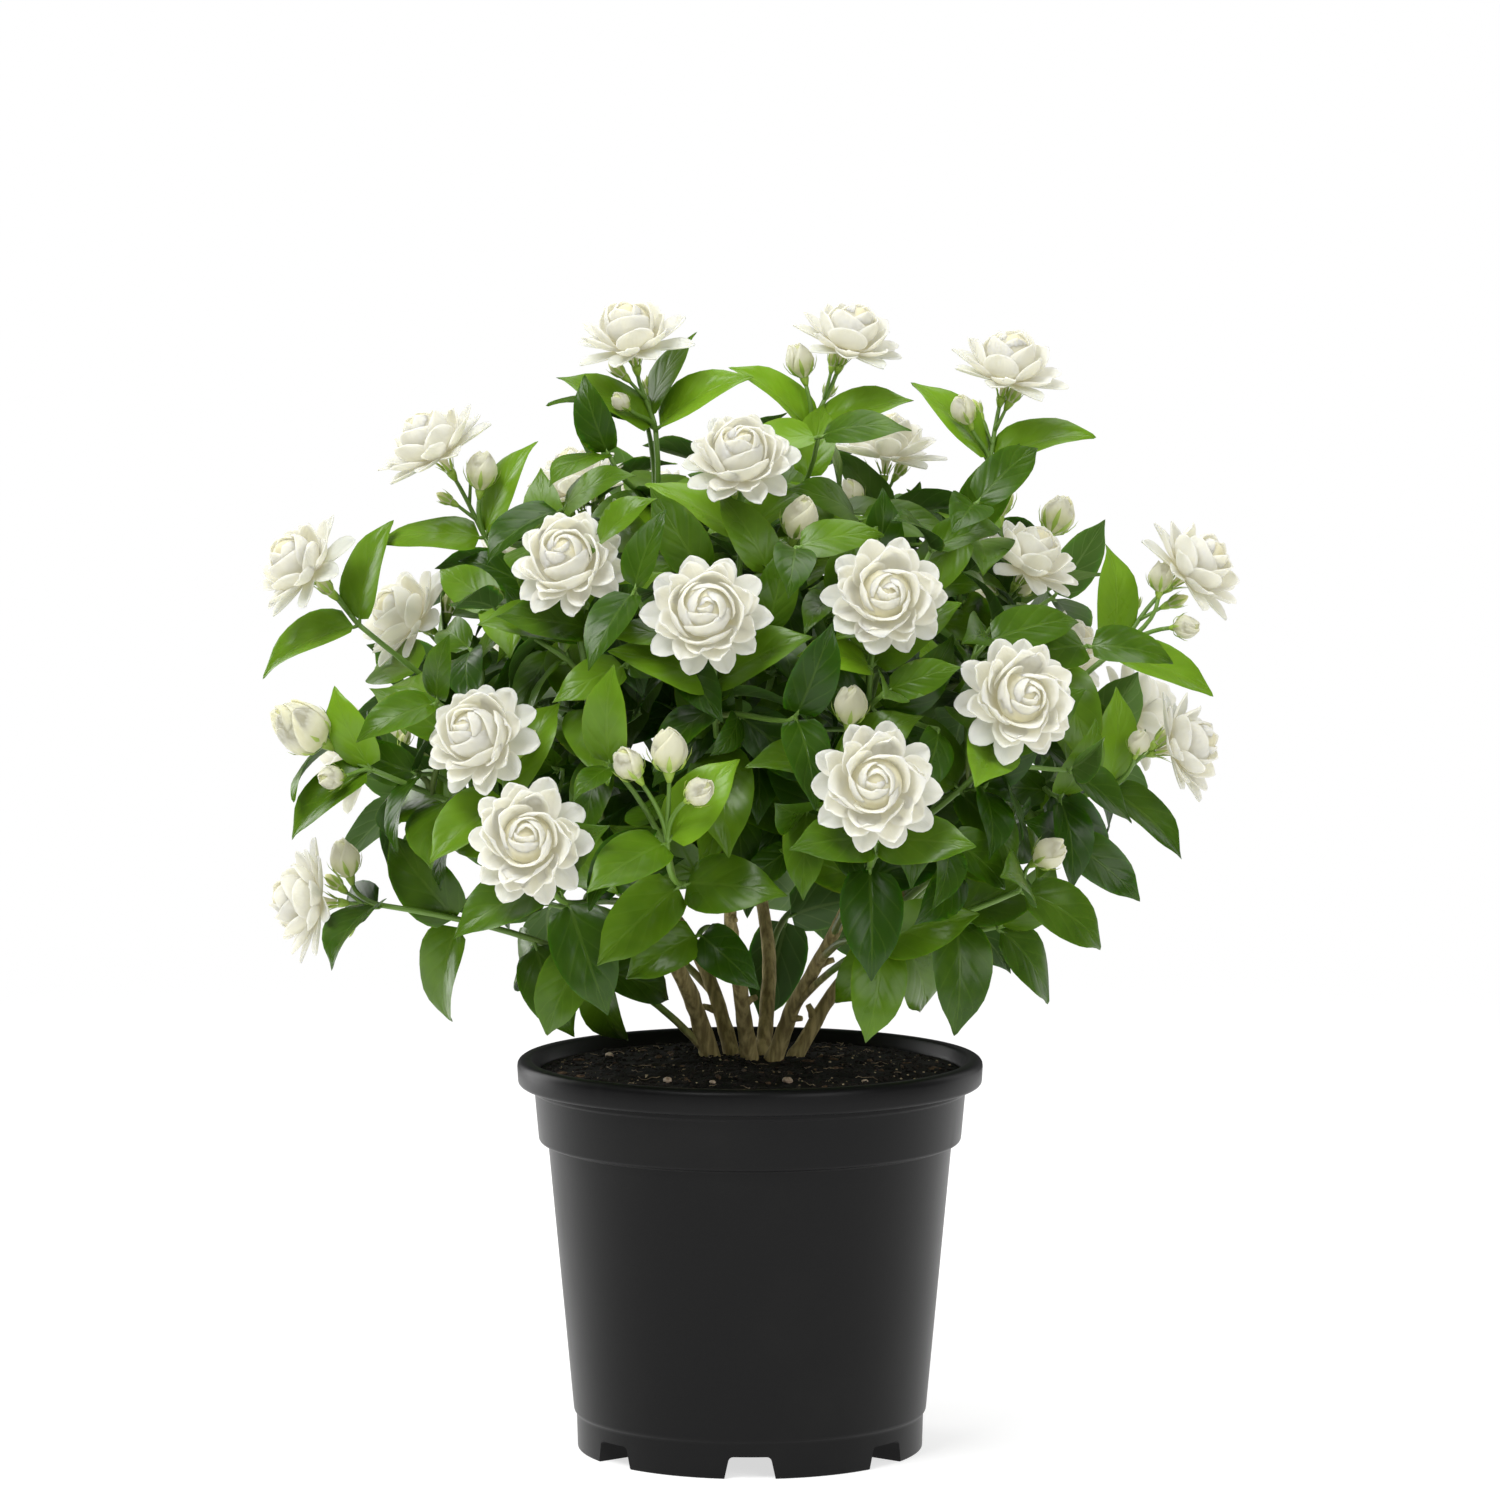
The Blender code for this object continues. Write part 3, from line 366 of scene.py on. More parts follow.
@dataclass(frozen=True)
class LeafSkin:
    """One face of a leaf: its greens, its veins and its gloss; the old green is also painted shade.
    """

    name: str
    old: Colour
    young: Colour
    vein: Colour
    roughness: float
    gloss: float
    vein_strength: float
    pairs_of_veins: float = 5.0
    vein_sweep: float = 0.36
    relief: float = 0.10 * MM
    light_through: Colour = (0.4, 1.0, 0.15)
    depth_of_light: float = 0.0012
    share_of_light: float = 0.12

    def material(self) -> Material:
        """Wire the finish, which reads a leaf's tint and its UV map."""
        surface = Surface(self.name)
        across, along = surface.uv()
        away = abs(across - 0.5) * 2
        climb = (along - away**0.85 * self.vein_sweep) * self.pairs_of_veins
        off_vein = abs(climb.fraction() - 0.5) * 2
        side_vein = (1 - off_vein).step(0.82, 1.0) * (1 - away.step(0.75, 1.0))
        midrib = 1 - (away * (along * 1.2 + 0.8)).step(0.03, 0.10)
        veins = side_vein.math("MAXIMUM", side_vein * 0.6, midrib)
        patches = surface.noise(70, 3)
        # A low tint gives the old green, for age and for painted shade on inner and low leaves.
        shade = surface.attribute("tint") * 0.85 + (patches - 0.5) * 0.35
        colour = surface.mix(shade.step(0.0, 1.0), self.old, self.young)
        colour = surface.mix(veins * self.vein_strength, colour, self.vein)
        puffed = (off_vein * (1 - midrib)).step(0.0, 0.6)
        relief = puffed * (1 - away * 0.6) + surface.noise(110, 3) * 1.2
        return surface.finish({
            "Base Color": colour,
            "Roughness": patches.within(self.roughness - 0.06, self.roughness + 0.10),
            "Normal": surface.bump(relief, self.relief),
            "Specular IOR Level": self.gloss,
            "Subsurface Weight": self.share_of_light,
            "Subsurface Radius": self.light_through,
            "Subsurface Scale": self.depth_of_light,
        })


@dataclass(frozen=True)
class PetalSkin:
    """Velvety petals: warm white, with cream up to `depth`, a share of their length.

    They are so thin that light comes through them, which the glow stands for.
    """

    name: str
    white: Colour
    cream: Colour
    depth: float
    roughness: float = 0.55
    ribs: float = 11
    relief: float = 0.07 * MM
    velvet: float = 0.08
    shine: float = 0.3
    scattered: Colour = (1.0, 0.95, 0.7)
    depth_of_light: float = 0.005
    share_of_light: float = 0.8
    glow_colour: Colour = (1.0, 0.97, 0.74)
    glow: float = 0.10

    def material(self) -> Material:
        """Wire the finish, which reads a petal's cream and its UV map."""
        surface = Surface(self.name)
        across, along = surface.uv()
        deep = (1 - along.step(0.15, self.depth)) * 0.75
        warm = deep + surface.attribute("cream") * (1 - along.step(0.5, 1.0))
        colour = surface.mix(warm.step(0.0, 1.0), self.white, self.cream)
        ribs = (across * self.ribs + surface.noise(60, 2) * 1.5).fraction()
        relief = (abs(ribs - 0.5) * 2).step(0.0, 1.0) * 0.2 + surface.noise(200, 3) * 0.4
        return surface.finish({
            "Base Color": colour,
            "Roughness": self.roughness,
            "Normal": surface.bump(relief, self.relief),
            "Sheen Weight": self.velvet,
            "Specular IOR Level": self.shine,
            "Subsurface Weight": self.share_of_light,
            "Subsurface Radius": self.scattered,
            "Subsurface Scale": self.depth_of_light,
            # Painted light: the glow stands for light that comes through the thin petals and lifts
            # their shade.
            "Emission Color": self.glow_colour,
            "Emission Strength": self.glow,
        })


@dataclass(frozen=True)
class CalyxSkin:
    """Fresh green sepals with paler tips."""

    base: Colour = (0.310, 0.470, 0.055)
    tip: Colour = (0.460, 0.580, 0.130)
    roughness: float = 0.45
    relief: float = 0.1 * MM

    def material(self) -> Material:
        """Wire the finish."""
        surface = Surface("calyx_green")
        mottle = surface.noise(300, 3)
        paler = surface.uv()[1].step(0.2, 1.0) * 0.7 + mottle * 0.4
        return surface.finish({
            "Base Color": surface.mix(paler.step(0.0, 1.0), self.base, self.tip),
            "Roughness": self.roughness,
            "Normal": surface.bump(mottle, self.relief),
        })


@dataclass(frozen=True)
class FloorPaint:
    """A pale floor that fades into the background, from one distance in metres to another."""

    colour: Colour = (0.5, 0.5, 0.497)
    roughness: float = 0.8
    glow_colour: Colour = (1.0, 1.0, 1.0)
    glow: float = 0.66
    fade: Pair = (0.7, 1.5)

    def material(self) -> Material:
        """Wire the finish."""
        surface = Surface("pale_floor")
        inputs = {0: surface.coordinates("Object")}
        out = surface.node("ShaderNodeVectorMath", {"operation": "LENGTH"}, inputs)
        return surface.finish({
            "Base Color": self.colour,
            "Roughness": self.roughness,
            "Specular IOR Level": 0.0,
            "Alpha": 1 - Value(surface, out.outputs["Value"]).step(*self.fade),
            "Emission Color": self.glow_colour,
            "Emission Strength": self.glow,
        })


LEAF_TOP = LeafSkin(
    "leaf_top",
    old=(0.019, 0.058, 0.0008),
    young=(0.175, 0.335, 0.012),
    vein=(0.190, 0.320, 0.040),
    roughness=0.28,
    gloss=0.26,
    vein_strength=0.14,
)
LEAF_UNDERSIDE = LeafSkin(
    "leaf_underside",
    old=(0.055, 0.125, 0.018),
    young=(0.125, 0.235, 0.032),
    vein=(0.190, 0.300, 0.080),
    roughness=0.55,
    gloss=0.25,
    vein_strength=0.5,
)
BLOOM_PETAL = PetalSkin("bloom_petal", (0.62, 0.612, 0.54), (0.61, 0.565, 0.36), 0.6)
BUD_PETAL = PetalSkin("bud_petal", (0.59, 0.575, 0.395), (0.50, 0.53, 0.21), 0.75, 0.45)
CRUMB = Grain("soil_crumb", (0.0028, 0.0021, 0.0013), (0.017, 0.011, 0.0065), 0.95)
CHIP = Grain("bark_chip", (0.040, 0.022, 0.011), (0.130, 0.078, 0.040), 0.85)
SPECK = Grain("pale_speck", (0.200, 0.150, 0.080), (0.560, 0.460, 0.290), 0.8)
FIBRE = Grain("root_fibre", (0.150, 0.110, 0.065), (0.330, 0.260, 0.165), 0.8)
PEBBLE = Grain("pebble", (0.360, 0.250, 0.170), (0.640, 0.510, 0.380), 0.55)


# Shapes


@dataclass(frozen=True)
class Route:
    """A line of points that a limb follows."""

    points: tuple[Vector, ...]

    @classmethod
    def through(cls, points: Sequence[Vector], steps: int) -> "Route":
        """Run smoothly through points.

        Args:
            points: where the line goes.
            steps: the number of steps to each stretch.

        Returns:
            The route.
        """
        route = [points[0]]
        for index in range(len(points) - 1):
            before = points[max(index - 1, 0)]
            start, end = points[index], points[index + 1]
            after = points[min(index + 2, len(points) - 1)]
            handle_out = start + (end - before) / 6
            handle_in = end - (after - start) / 6
            route += interpolate_bezier(start, handle_out, handle_in, end, steps + 1)[1:]
        return cls(tuple(route))

    @classmethod
    def bent(cls, start: Vector, handles: Sequence[Vector], end: Vector, count: int) -> "Route":
        """Run in one bend of `count` points, drawn by two handles."""
        return cls(tuple(interpolate_bezier(start, *handles, end, count)))

    @property
    def length(self) -> float:
        """The route's length."""
        return sum((end - start).length for start, end in zip(self.points, self.points[1:]))

    def at(self, share: float) -> tuple[Vector, Vector]:
        """Give the point at a share of the length, and the direction there.

        Args:
            share: the share, from 0 to 1.

        Returns:
            The point and the direction.
        """
        left = share * self.length
        last = len(self.points) - 2
        for index in range(last + 1):
            step = self.points[index + 1] - self.points[index]
            if left <= step.length or index == last:
                return self.points[index] + step * min(left / step.length, 1), step.normalized()
            left -= step.length
        raise ValueError("a route needs two points")

    def nearest(self, place: Vector) -> Vector:
        """Give the route's own point that lies nearest to a place."""
        return min(self.points, key=lambda point: (point - place).length)


def compass(angle: float) -> Vector:
    """Give the level direction at an angle from +X."""
    return Vector((cos(angle), sin(angle), 0))


def beside(along: Vector, angle: float) -> Vector:
    """Give a direction square to another, turned round it by an angle."""
    return Matrix.Rotation(angle, 3, along) @ along.orthogonal().normalized()


def tapered(start: float, end: float, count: int) -> list[float]:
    """Give `count` values that run evenly from the start to the end."""
    return [start + (end - start) * step / (count - 1) for step in range(count)]


def begin() -> BMesh:
    """Start a mesh with the layers that the finishes read."""
    bm = bmesh.new()
    bm.loops.layers.uv.verify()
    for name in ("tint", "cream"):
        bm.faces.layers.float.new(name)
    bm.verts.layers.float.new("age")
    return bm


def mesh_of(bm: BMesh, name: str) -> Mesh:
    """Turn a bmesh into a mesh, and free it."""
    mesh = bpy.data.meshes.new(name)
    bm.to_mesh(mesh)
    bm.free()
    return mesh


def put(name: str, data: ID) -> Object:
    """Put a mesh, a lamp or a camera in the scene."""
    made = bpy.data.objects.new(name, data)
    bpy.context.scene.collection.objects.link(made)
    return made


def smooth(faces: Sequence[BMFace]) -> None:
    """Shade faces smoothly."""
    for face in faces:
        face.smooth = True


def face_outwards(bm: BMesh) -> None:
    """Point a closed mesh's faces outwards."""
    bmesh.ops.recalc_face_normals(bm, faces=bm.faces)
    if bm.calc_volume(signed=True) < 0:
        bmesh.ops.reverse_faces(bm, faces=bm.faces)


@lru_cache
def blank_sphere(sides: int, levels: int) -> tuple[Mesh, tuple]:
    """Make the sphere that thin sheets are drawn from.

    Args:
        sides: the number of vertices in a ring.
        levels: the number of steps from pole to pole.

    Returns:
        The sphere, and each vertex's ring, its side from -1 to 1 and its face, -1 to 1.
    """
    bm = bmesh.new()
    bmesh.ops.create_uvsphere(bm, u_segments=sides, v_segments=levels, radius=1)
    spots = []
    for vert in bm.verts:
        ring = levels - round(acos(max(-1, min(1, vert.co.z))) / pi * levels)
        if ring in (0, levels):
            spots.append((ring, 0, 0))
            continue
        around = atan2(vert.co.y, vert.co.x)
        side, face = cos(around), sin(around)
        side = copysign(abs(side) ** 1.5, side) if abs(side) > 0.01 else 0
        face = copysign(1, face) if abs(face) > 0.01 else 0
        spots.append((ring, side, face))
    return mesh_of(bm, "blank_sphere"), tuple(spots)


@lru_cache
def blank_tube(sides: int, rings: int) -> tuple[Mesh, tuple]:
    """Make the closed tube that limbs are drawn from.

    Args:
        sides: the number of vertices in a ring.
        rings: the number of rings.

    Returns:
        The tube, and each vertex's ring and its angle round the tube.
    """
    bm = bmesh.new()
    depth = rings - 1
    bmesh.ops.create_cone(bm, cap_ends=True, segments=sides, radius1=1, radius2=1, depth=depth)
    upright = [edge for edge in bm.edges if edge.verts[0].co.z != edge.verts[1].co.z]
    bmesh.ops.subdivide_edges(bm, edges=upright, cuts=rings - 2, use_grid_fill=True)
    spots = tuple(
        (round(vert.co.z + depth / 2), atan2(vert.co.y, vert.co.x)) for vert in bm.verts
    )
    return mesh_of(bm, "blank_tube"), spots


@lru_cache
def blank_lump() -> Mesh:
    """Make the plain lump that crumbs are drawn from."""
    bm = bmesh.new()
    bmesh.ops.create_icosphere(bm, subdivisions=1, radius=1)
    return mesh_of(bm, "blank_lump")


def add_blank(bm: BMesh, blank: Mesh) -> tuple[list[BMVert], list[BMFace]]:
    """Add a copy of a blank to a mesh.

    Args:
        bm: the mesh being built.
        blank: the blank.

    Returns:
        The new vertices and faces.
    """
    verts, faces = len(bm.verts), len(bm.faces)
    bm.from_mesh(blank)
    bm.verts.ensure_lookup_table()
    bm.faces.ensure_lookup_table()
    return bm.verts[verts:], bm.faces[faces:]


def thin_sheet(
    bm: BMesh, place: Sheet, shares: Sequence[float], sides: int = 8, under: int = 0
) -> list[BMFace]:
    """Add a closed thin sheet, drawn from a sphere whose poles become its root and its tip.

    Args:
        bm: the mesh being built.
        place: the point for a share of the length, a side from -1 to 1, and a face, -1 to 1.
        shares: the share of the length at each ring, from the root's pole to the tip's.
        sides: the number of vertices in a ring.
        under: the material index of the face that looks down.

    Returns:
        The new faces.
    """
    sphere, spots = blank_sphere(sides, len(shares) - 1)
    verts, faces = add_blank(bm, sphere)
    uv_layer = bm.loops.layers.uv.verify()
    spot_of = {}
    for vert, (ring, side, face) in zip(verts, spots):
        spot_of[vert] = (shares[ring], side, face)
        vert.co = place(shares[ring], side, face)
    smooth(faces)
    for face in faces:
        if sum(spot_of[vert][2] for vert in face.verts) < 0:
            face.material_index = under
        for loop in face.loops:
            share, side, _ = spot_of[loop.vert]
            loop[uv_layer].uv = (0.5 + side / 2, share)
        for edge in face.edges:
            if all(spot_of[vert][2] == 0 for vert in edge.verts):
                edge.smooth = False
    if faces_inwards(faces):
        bmesh.ops.reverse_faces(bm, faces=faces)
    return faces


def faces_inwards(faces: Sequence[BMFace]) -> bool:
    """Tell whether a closed shell's faces point inwards, by the sign of its volume.

    Args:
        faces: all the shell's faces.

    Returns:
        Whether they do.
    """
    middle = sum((face.calc_center_median() for face in faces), Vector()) / len(faces)
    volume = 0.0
    for face in faces:
        face.normal_update()
        volume += (face.calc_center_median() - middle).dot(face.normal) * face.calc_area()
    return volume < 0


def limb(
    bm: BMesh,
    route: Route,
    radii: Sequence[float],
    sides: int,
    ages: Sequence[float],
    ridges: float = 0.0,
) -> None:
    """Add a closed limb along a route.

    Args:
        bm: the mesh being built.
        route: the limb's middle line.
        radii: the radius at each point.
        sides: the ring's number of sides.
        ages: how woody it is at each point, from 1 to 0.
        ridges: how far its ridges and hollows stand out, as a share of the radius.
    """
    age_layer = bm.verts.layers.float["age"]
    points = route.points
    before, after = (points[0], *points), (*points[1:], points[-1])
    directions = [(end - start).normalized() for start, end in zip(before, after)]
    side = directions[0].orthogonal().normalized()
    axes = []
    for direction in directions:
        side = (side - direction * side.dot(direction)).normalized()
        axes.append((side, direction.cross(side)))
    tube, spots = blank_tube(sides, len(points))
    verts, faces = add_blank(bm, tube)
    for vert, (index, around) in zip(verts, spots):
        across, up = axes[index]
        outward = across * cos(around) + up * sin(around)
        rough = noise.noise((points[index] + outward * 2 * MM) * 260) * ridges
        rough += sin(3 * around + 0.9 * index) * ridges * 0.35
        vert.co = points[index] + outward * radii[index] * (1 + rough)
        vert[age_layer] = ages[index]
    smooth(faces)


def straight_limb(
    bm: BMesh,
    base: Vector,
    along: Vector,
    rings: Sequence[Pair],
    size: float,
    sides: int,
    age: float = 0,
    ridges: float = 0.0,
) -> None:
    """Add a straight closed limb.

    Args:
        bm: the mesh being built.
        base: where it starts.
        along: the way it points.
        rings: the height and the radius of each ring, in millimetres.
        size: what both are multiplied by.
        sides: the number of vertices in a ring.
        age: how woody it is.
        ridges: how far its ridges stand out, as a share of the radius.
    """
    points = tuple(base + along * height * size * MM for height, _ in rings)
    radii = [radius * size * MM for _, radius in rings]
    limb(bm, Route(points), radii, sides, [age] * len(rings), ridges)


def turned(profile: Sequence[Pair], steps: int) -> BMesh:
    """Spin a closed section round the upright axis.

    Args:
        profile: the section's radii and heights, from the axis to the axis.
        steps: the number of sides.

    Returns:
        The turned solid.
    """
    bm = begin()
    verts = [bm.verts.new((radius, 0, height)) for radius, height in profile]
    edges = [bm.edges.new(pair) for pair in zip(verts, verts[1:])]
    full = {"cent": (0, 0, 0), "axis": UP, "angle": 2 * pi, "use_merge": True}
    bmesh.ops.spin(bm, geom=verts + edges, steps=steps, **full)
    bmesh.ops.remove_doubles(bm, verts=bm.verts, dist=0.001 * MM)
    face_outwards(bm)
    return bm


def rounded(corners: Sequence[tuple[float, float, float]], steps: int = 5) -> list:
    """Round a section's corners.

    Args:
        corners: each corner's radius from the axis, its height and the size of its rounding.
        steps: the number of steps in each rounding.

    Returns:
        The section's radii and heights.
    """
    section = []
    for index, (radius, height, size) in enumerate(corners):
        corner = Vector((radius, height, 0))
        if not size or index in (0, len(corners) - 1):
            section.append((radius, height))
            continue
        before = Vector((*corners[index - 1][:2], 0)) - corner
        after = Vector((*corners[index + 1][:2], 0)) - corner
        start = corner + before.normalized() * min(size, before.length / 2)
        end = corner + after.normalized() * min(size, after.length / 2)
        handles = start.lerp(corner, 0.56), end.lerp(corner, 0.56)
        for point in interpolate_bezier(start, *handles, end, steps + 1):
            section.append((point.x, point.y))
    return section


def show(
    bm: BMesh, name: str, slot: Slot, nodes: Sequence[str], *finishes: Material
) -> None:
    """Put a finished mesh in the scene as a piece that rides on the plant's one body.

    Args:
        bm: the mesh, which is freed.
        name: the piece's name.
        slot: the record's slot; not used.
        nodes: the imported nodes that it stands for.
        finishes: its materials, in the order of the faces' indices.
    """
    mesh = mesh_of(bm, name)
    for finish in finishes:
        mesh.materials.append(finish)
    piece = put(name, mesh)
    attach(piece, BODY)
    if nodes:
        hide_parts(*nodes)
    mesh.calc_loop_triangles()
    LOG.info("%s: %d triangles", name, len(mesh.loop_triangles))


# The plant's places, as in its solids


@dataclass(frozen=True)
class Stem:
    """A woody stem: the route of its middle above the soil, and its radius at the soil."""

    name: str
    route: tuple
    radius: float

    @property
    def shoots(self) -> list[str]:
        """The names of the shoots that it carries."""
        return [name for name, shoot in SHOOTS.items() if shoot.stem == self.name]


@dataclass(frozen=True)
class Shoot:
    """A leafy shoot, from `start` along its stem's length to its crown.

    `roll` turns the crown's pair of leaves round the shoot, from left and right.
    """

    stem: str
    start: float
    crown: tuple
    lean: tuple
    pairs: int = 2
    roll: float = 0
    leaf: float = 48
    droop: float = 25

    @property
    def direction(self) -> Vector:
        """The way that its crown points."""
        return Vector(self.lean).normalized()


class Heart(Enum):
    """How far a flower has opened."""

    FURLED = "furled"
    HALF_OPEN = "half open"
    CUPPED = "a cup over long outer petals"
    GLOBE = "closed in the middle"
    ROSETTE = "open to its heart"


@dataclass(frozen=True)
class Head:
    """A bloom or a bud: the shoot that carries it, its middle, and the way it faces."""

    shoot: str
    centre: tuple
    facing: tuple
    size: float = 1.0
    heart: Heart | None = None


STEMS = (
    Stem("left", ((-16, 24, 155), (-24, 14, 183), (-38, -6, 212), (-54, -26, 240)), 3.8),
    Stem("middle", ((0, 14, 155), (-4, -2, 188), (-8, -26, 222), (-8, -50, 256)), 3.2),
    Stem("right", ((9, 15, 155), (18, 8, 180), (32, -8, 208), (46, -28, 240)), 3.3),
    Stem("right_back", ((18, 28, 155), (34, 30, 182), (54, 34, 208), (72, 38, 234)), 2.8),
    Stem("back", ((5, 38, 155), (8, 52, 190), (4, 64, 225), (0, 74, 255)), 3.0),
    Stem("left_back", ((-7, 34, 155), (-18, 42, 190), (-36, 50, 220), (-52, 56, 248)), 3.0),
)

SHOOTS = {
    # Top of the bush
    "top_left": Shoot("left_back", 0.95, (-38, -6, 416), (-0.1, -0.1, 1), 3, 0, 50),
    "top_middle": Shoot("back", 0.9, (25, 2, 414), (0.15, 0, 1), 3, 0),
    "top_right": Shoot("right_back", 0.95, (97, 10, 402), (0.2, 0, 1), 3, 0, 50),
    "high_left": Shoot("left_back", 0.8, (-107, 0, 372), (-0.45, -0.1, 0.85), 2, 0, 50),
    "high_left_back": Shoot("left_back", 1.0, (-66, 58, 362), (-0.2, 0, 1), 2, 40, 46),
    "high_front": Shoot("middle", 1.0, (-4, -52, 375), (0, -0.3, 1), 2, 15),
    "high_right_back": Shoot("back", 1.0, (55, 58, 376), (0.1, 0, 1), 2, 10, 46),
    "high_bud": Shoot("middle", 0.85, (14, -48, 352), (0.1, -0.2, 1), 2, 75, 44),
    "high_back": Shoot("back", 0.95, (-32, 84, 352), (-0.1, 0.2, 1), 2, 30, 46),
    # Front of the bush
    "front_left": Shoot("left", 1.0, (-66, -86, 338), (-0.1, -0.5, 0.85), 2, 10),
    "front_middle": Shoot("middle", 1.0, (-14, -116, 322), (0, -0.4, 0.9), 3, 0, 50),
    "front_right": Shoot("right", 0.9, (47, -106, 328), (0.05, -0.45, 0.9), 2, 25),
    "front_bud": Shoot("right", 0.8, (33, -112, 288), (0.1, -0.3, 0.9), 1, 20, 46),
    "front_trio": Shoot("middle", 0.8, (-32, -132, 262), (0, -0.3, 1), 2, 30),
    "side_left": Shoot("left", 0.95, (-95, -92, 276), (-0.4, -0.5, 0.6), 2, 20),
    "low_left": Shoot("left", 0.75, (-78, -122, 246), (-0.1, -0.75, 0.5), 2, 30, 50),
    "low_right": Shoot("right", 0.7, (48, -142, 264), (0.05, -0.8, 0.5)),
    "side_right": Shoot("right", 0.95, (95, -104, 296), (0.3, -0.6, 0.6), 2, 30),
    # Sides of the bush
    "far_left": Shoot("left_back", 0.75, (-158, -6, 337), (-0.7, -0.1, 0.6), 3, 0, 50),
    "far_left_back": Shoot("left_back", 0.7, (-122, 34, 318), (-0.6, 0, 0.7), 2, 50, 46),
    "left_globe": Shoot("left", 0.85, (-150, -56, 283), (-0.85, -0.2, 0.4), 3, 0),
    "left_low": Shoot("left", 0.15, (-148, -32, 226), (-0.95, -0.05, 0.15), 4, 90, 48, 45),
    "far_right": Shoot("right_back", 0.85, (146, -2, 325), (0.75, -0.1, 0.6), 3, 0, 50),
    "right_low": Shoot("right_back", 0.8, (144, -20, 272), (0.9, -0.1, 0.3), 2, 0, 46),
    "right_up": Shoot("right_back", 1.0, (108, 46, 338), (0.2, 0.1, 0.9), 2, 20, 46),
    "right_mid": Shoot("right_back", 0.9, (114, 42, 300), (0.6, 0.1, 0.6), 2, 60, 44),
    "right_twig": Shoot("right", 0.35, (106, -84, 238), (0.8, -0.3, 0.4), 3, 40, 50, 50),
    # Back of the bush
    "back_left": Shoot("left_back", 0.9, (-88, 78, 335), (-0.4, 0.4, 0.8), 2, 0, 46),
    "back_high": Shoot("back", 0.85, (10, 128, 330), (0, 0.6, 0.8), 2, 20),
    "back_side_left": Shoot("left_back", 0.6, (-84, 124, 290), (-0.4, 0.7, 0.5), 2, 60),
    "back_side_right": Shoot("right_back", 0.9, (86, 118, 306), (0.4, 0.6, 0.6)),
    "back_low": Shoot("back", 0.7, (0, 142, 258), (0, 0.9, 0.4)),
    "back_far_right": Shoot("right_back", 0.6, (140, 74, 276), (0.8, 0.4, 0.4), 2, 30),
    "back_far_left": Shoot("left_back", 0.5, (-142, 84, 258), (-0.8, 0.4, 0.3)),
    # Low twigs with hanging leaves
    "skirt_left": Shoot("left", 0.5, (-62, -62, 214), (-0.5, -0.7, 0.1), 1, 60, 48, 60),
    "skirt_middle": Shoot("middle", 0.5, (-20, -78, 220), (-0.1, -0.9, -0.1), 1, 0, 40, 60),
    "skirt_right": Shoot("right", 0.55, (52, -84, 218), (0.4, -0.8, 0.1), 1, 60, 48, 60),
    "skirt_far_right": Shoot("right_back", 0.4, (100, -6, 214), (0.9, -0.3, 0.2), 1, 30, 48, 55),
    "skirt_back": Shoot("back", 0.45, (24, 116, 212), (0.2, 0.9, 0.1), 2, 30, 48, 60),
    "skirt_back_left": Shoot("left_back", 0.35, (-84, 92, 212), (-0.7, 0.6, 0.1), 1, 30, 48, 60),
    "skirt_back_right": Shoot("right_back", 0.3, (80, 92, 212), (0.6, 0.7, 0.1), 1, 30, 48, 60),
}

BLOOMS = (
    Head("top_left", (-48, -10, 456), (-0.15, -0.4, 1), 0.95),
    Head("top_middle", (41, 0, 455), (0.35, -0.35, 1), 0.90),
    Head("top_right", (105, 9, 443), (0.2, -0.35, 1), 0.95),
    Head("high_left", (-129, -2, 412), (-0.5, -0.25, 0.85), 0.95),
    Head("high_left_back", (-74, 58, 394), (-0.3, -0.1, 0.95), 0.90),
    Head("high_front", (-4, -72, 409), (0, -0.7, 0.7)),
    Head("high_right_back", (57, 60, 409), (0.1, -0.1, 1), 0.90),
    Head("front_left", (-71, -110, 370), (-0.15, -0.8, 0.45)),
    Head("front_middle", (-17, -141, 352), (-0.05, -0.9, 0.35), 1.05),
    Head("front_right", (52, -131, 358), (0.05, -0.9, 0.35), 1.05, Heart.ROSETTE),
    Head("far_left", (-183, -12, 363), (-0.7, -0.45, 0.6), 0.92),
    Head("far_left_back", (-143, 28, 340), (-0.75, -0.45, 0.5), 0.92),
    Head("side_left", (-106, -112, 302), (-0.4, -0.8, 0.4)),
    Head("low_left", (-85, -150, 265), (-0.15, -0.95, 0.2), 1.05, Heart.ROSETTE),
    Head("low_right", (48, -169, 288), (0.1, -0.97, 0.22), 1.08, Heart.ROSETTE),
    Head("side_right", (104, -131, 318), (0.25, -0.92, 0.25), 1.05, Heart.ROSETTE),
    Head("far_right", (182, -2, 362), (0.7, -0.3, 0.6), 0.95),
    Head("right_low", (177, -22, 290), (0.9, -0.3, 0.25), 0.90),
    Head("left_low", (-181, -30, 228), (-0.95, -0.25, 0.1), 0.95),
    Head("right_up", (116, 30, 364), (0.45, -0.3, 0.85), 0.90),
    Head("right_mid", (131, 44, 325), (0.7, -0.3, 0.6), 0.88),
    Head("back_left", (-98, 88, 366), (-0.35, 0.35, 0.85), 0.92),
    Head("high_back", (-38, 92, 384), (-0.1, 0.3, 0.95), 0.92),
    Head("back_high", (12, 146, 360), (0, 0.75, 0.65)),
    Head("back_side_left", (-96, 143, 312), (-0.4, 0.8, 0.4), 1.0, Heart.ROSETTE),
    Head("back_side_right", (97, 138, 332), (0.4, 0.75, 0.5)),
    Head("back_low", (0, 168, 278), (0, 0.95, 0.3), 1.0, Heart.ROSETTE),
    Head("back_far_right", (166, 90, 294), (0.8, 0.45, 0.35), 0.95),
    Head("back_far_left", (-168, 100, 276), (-0.8, 0.5, 0.3), 0.95),
)

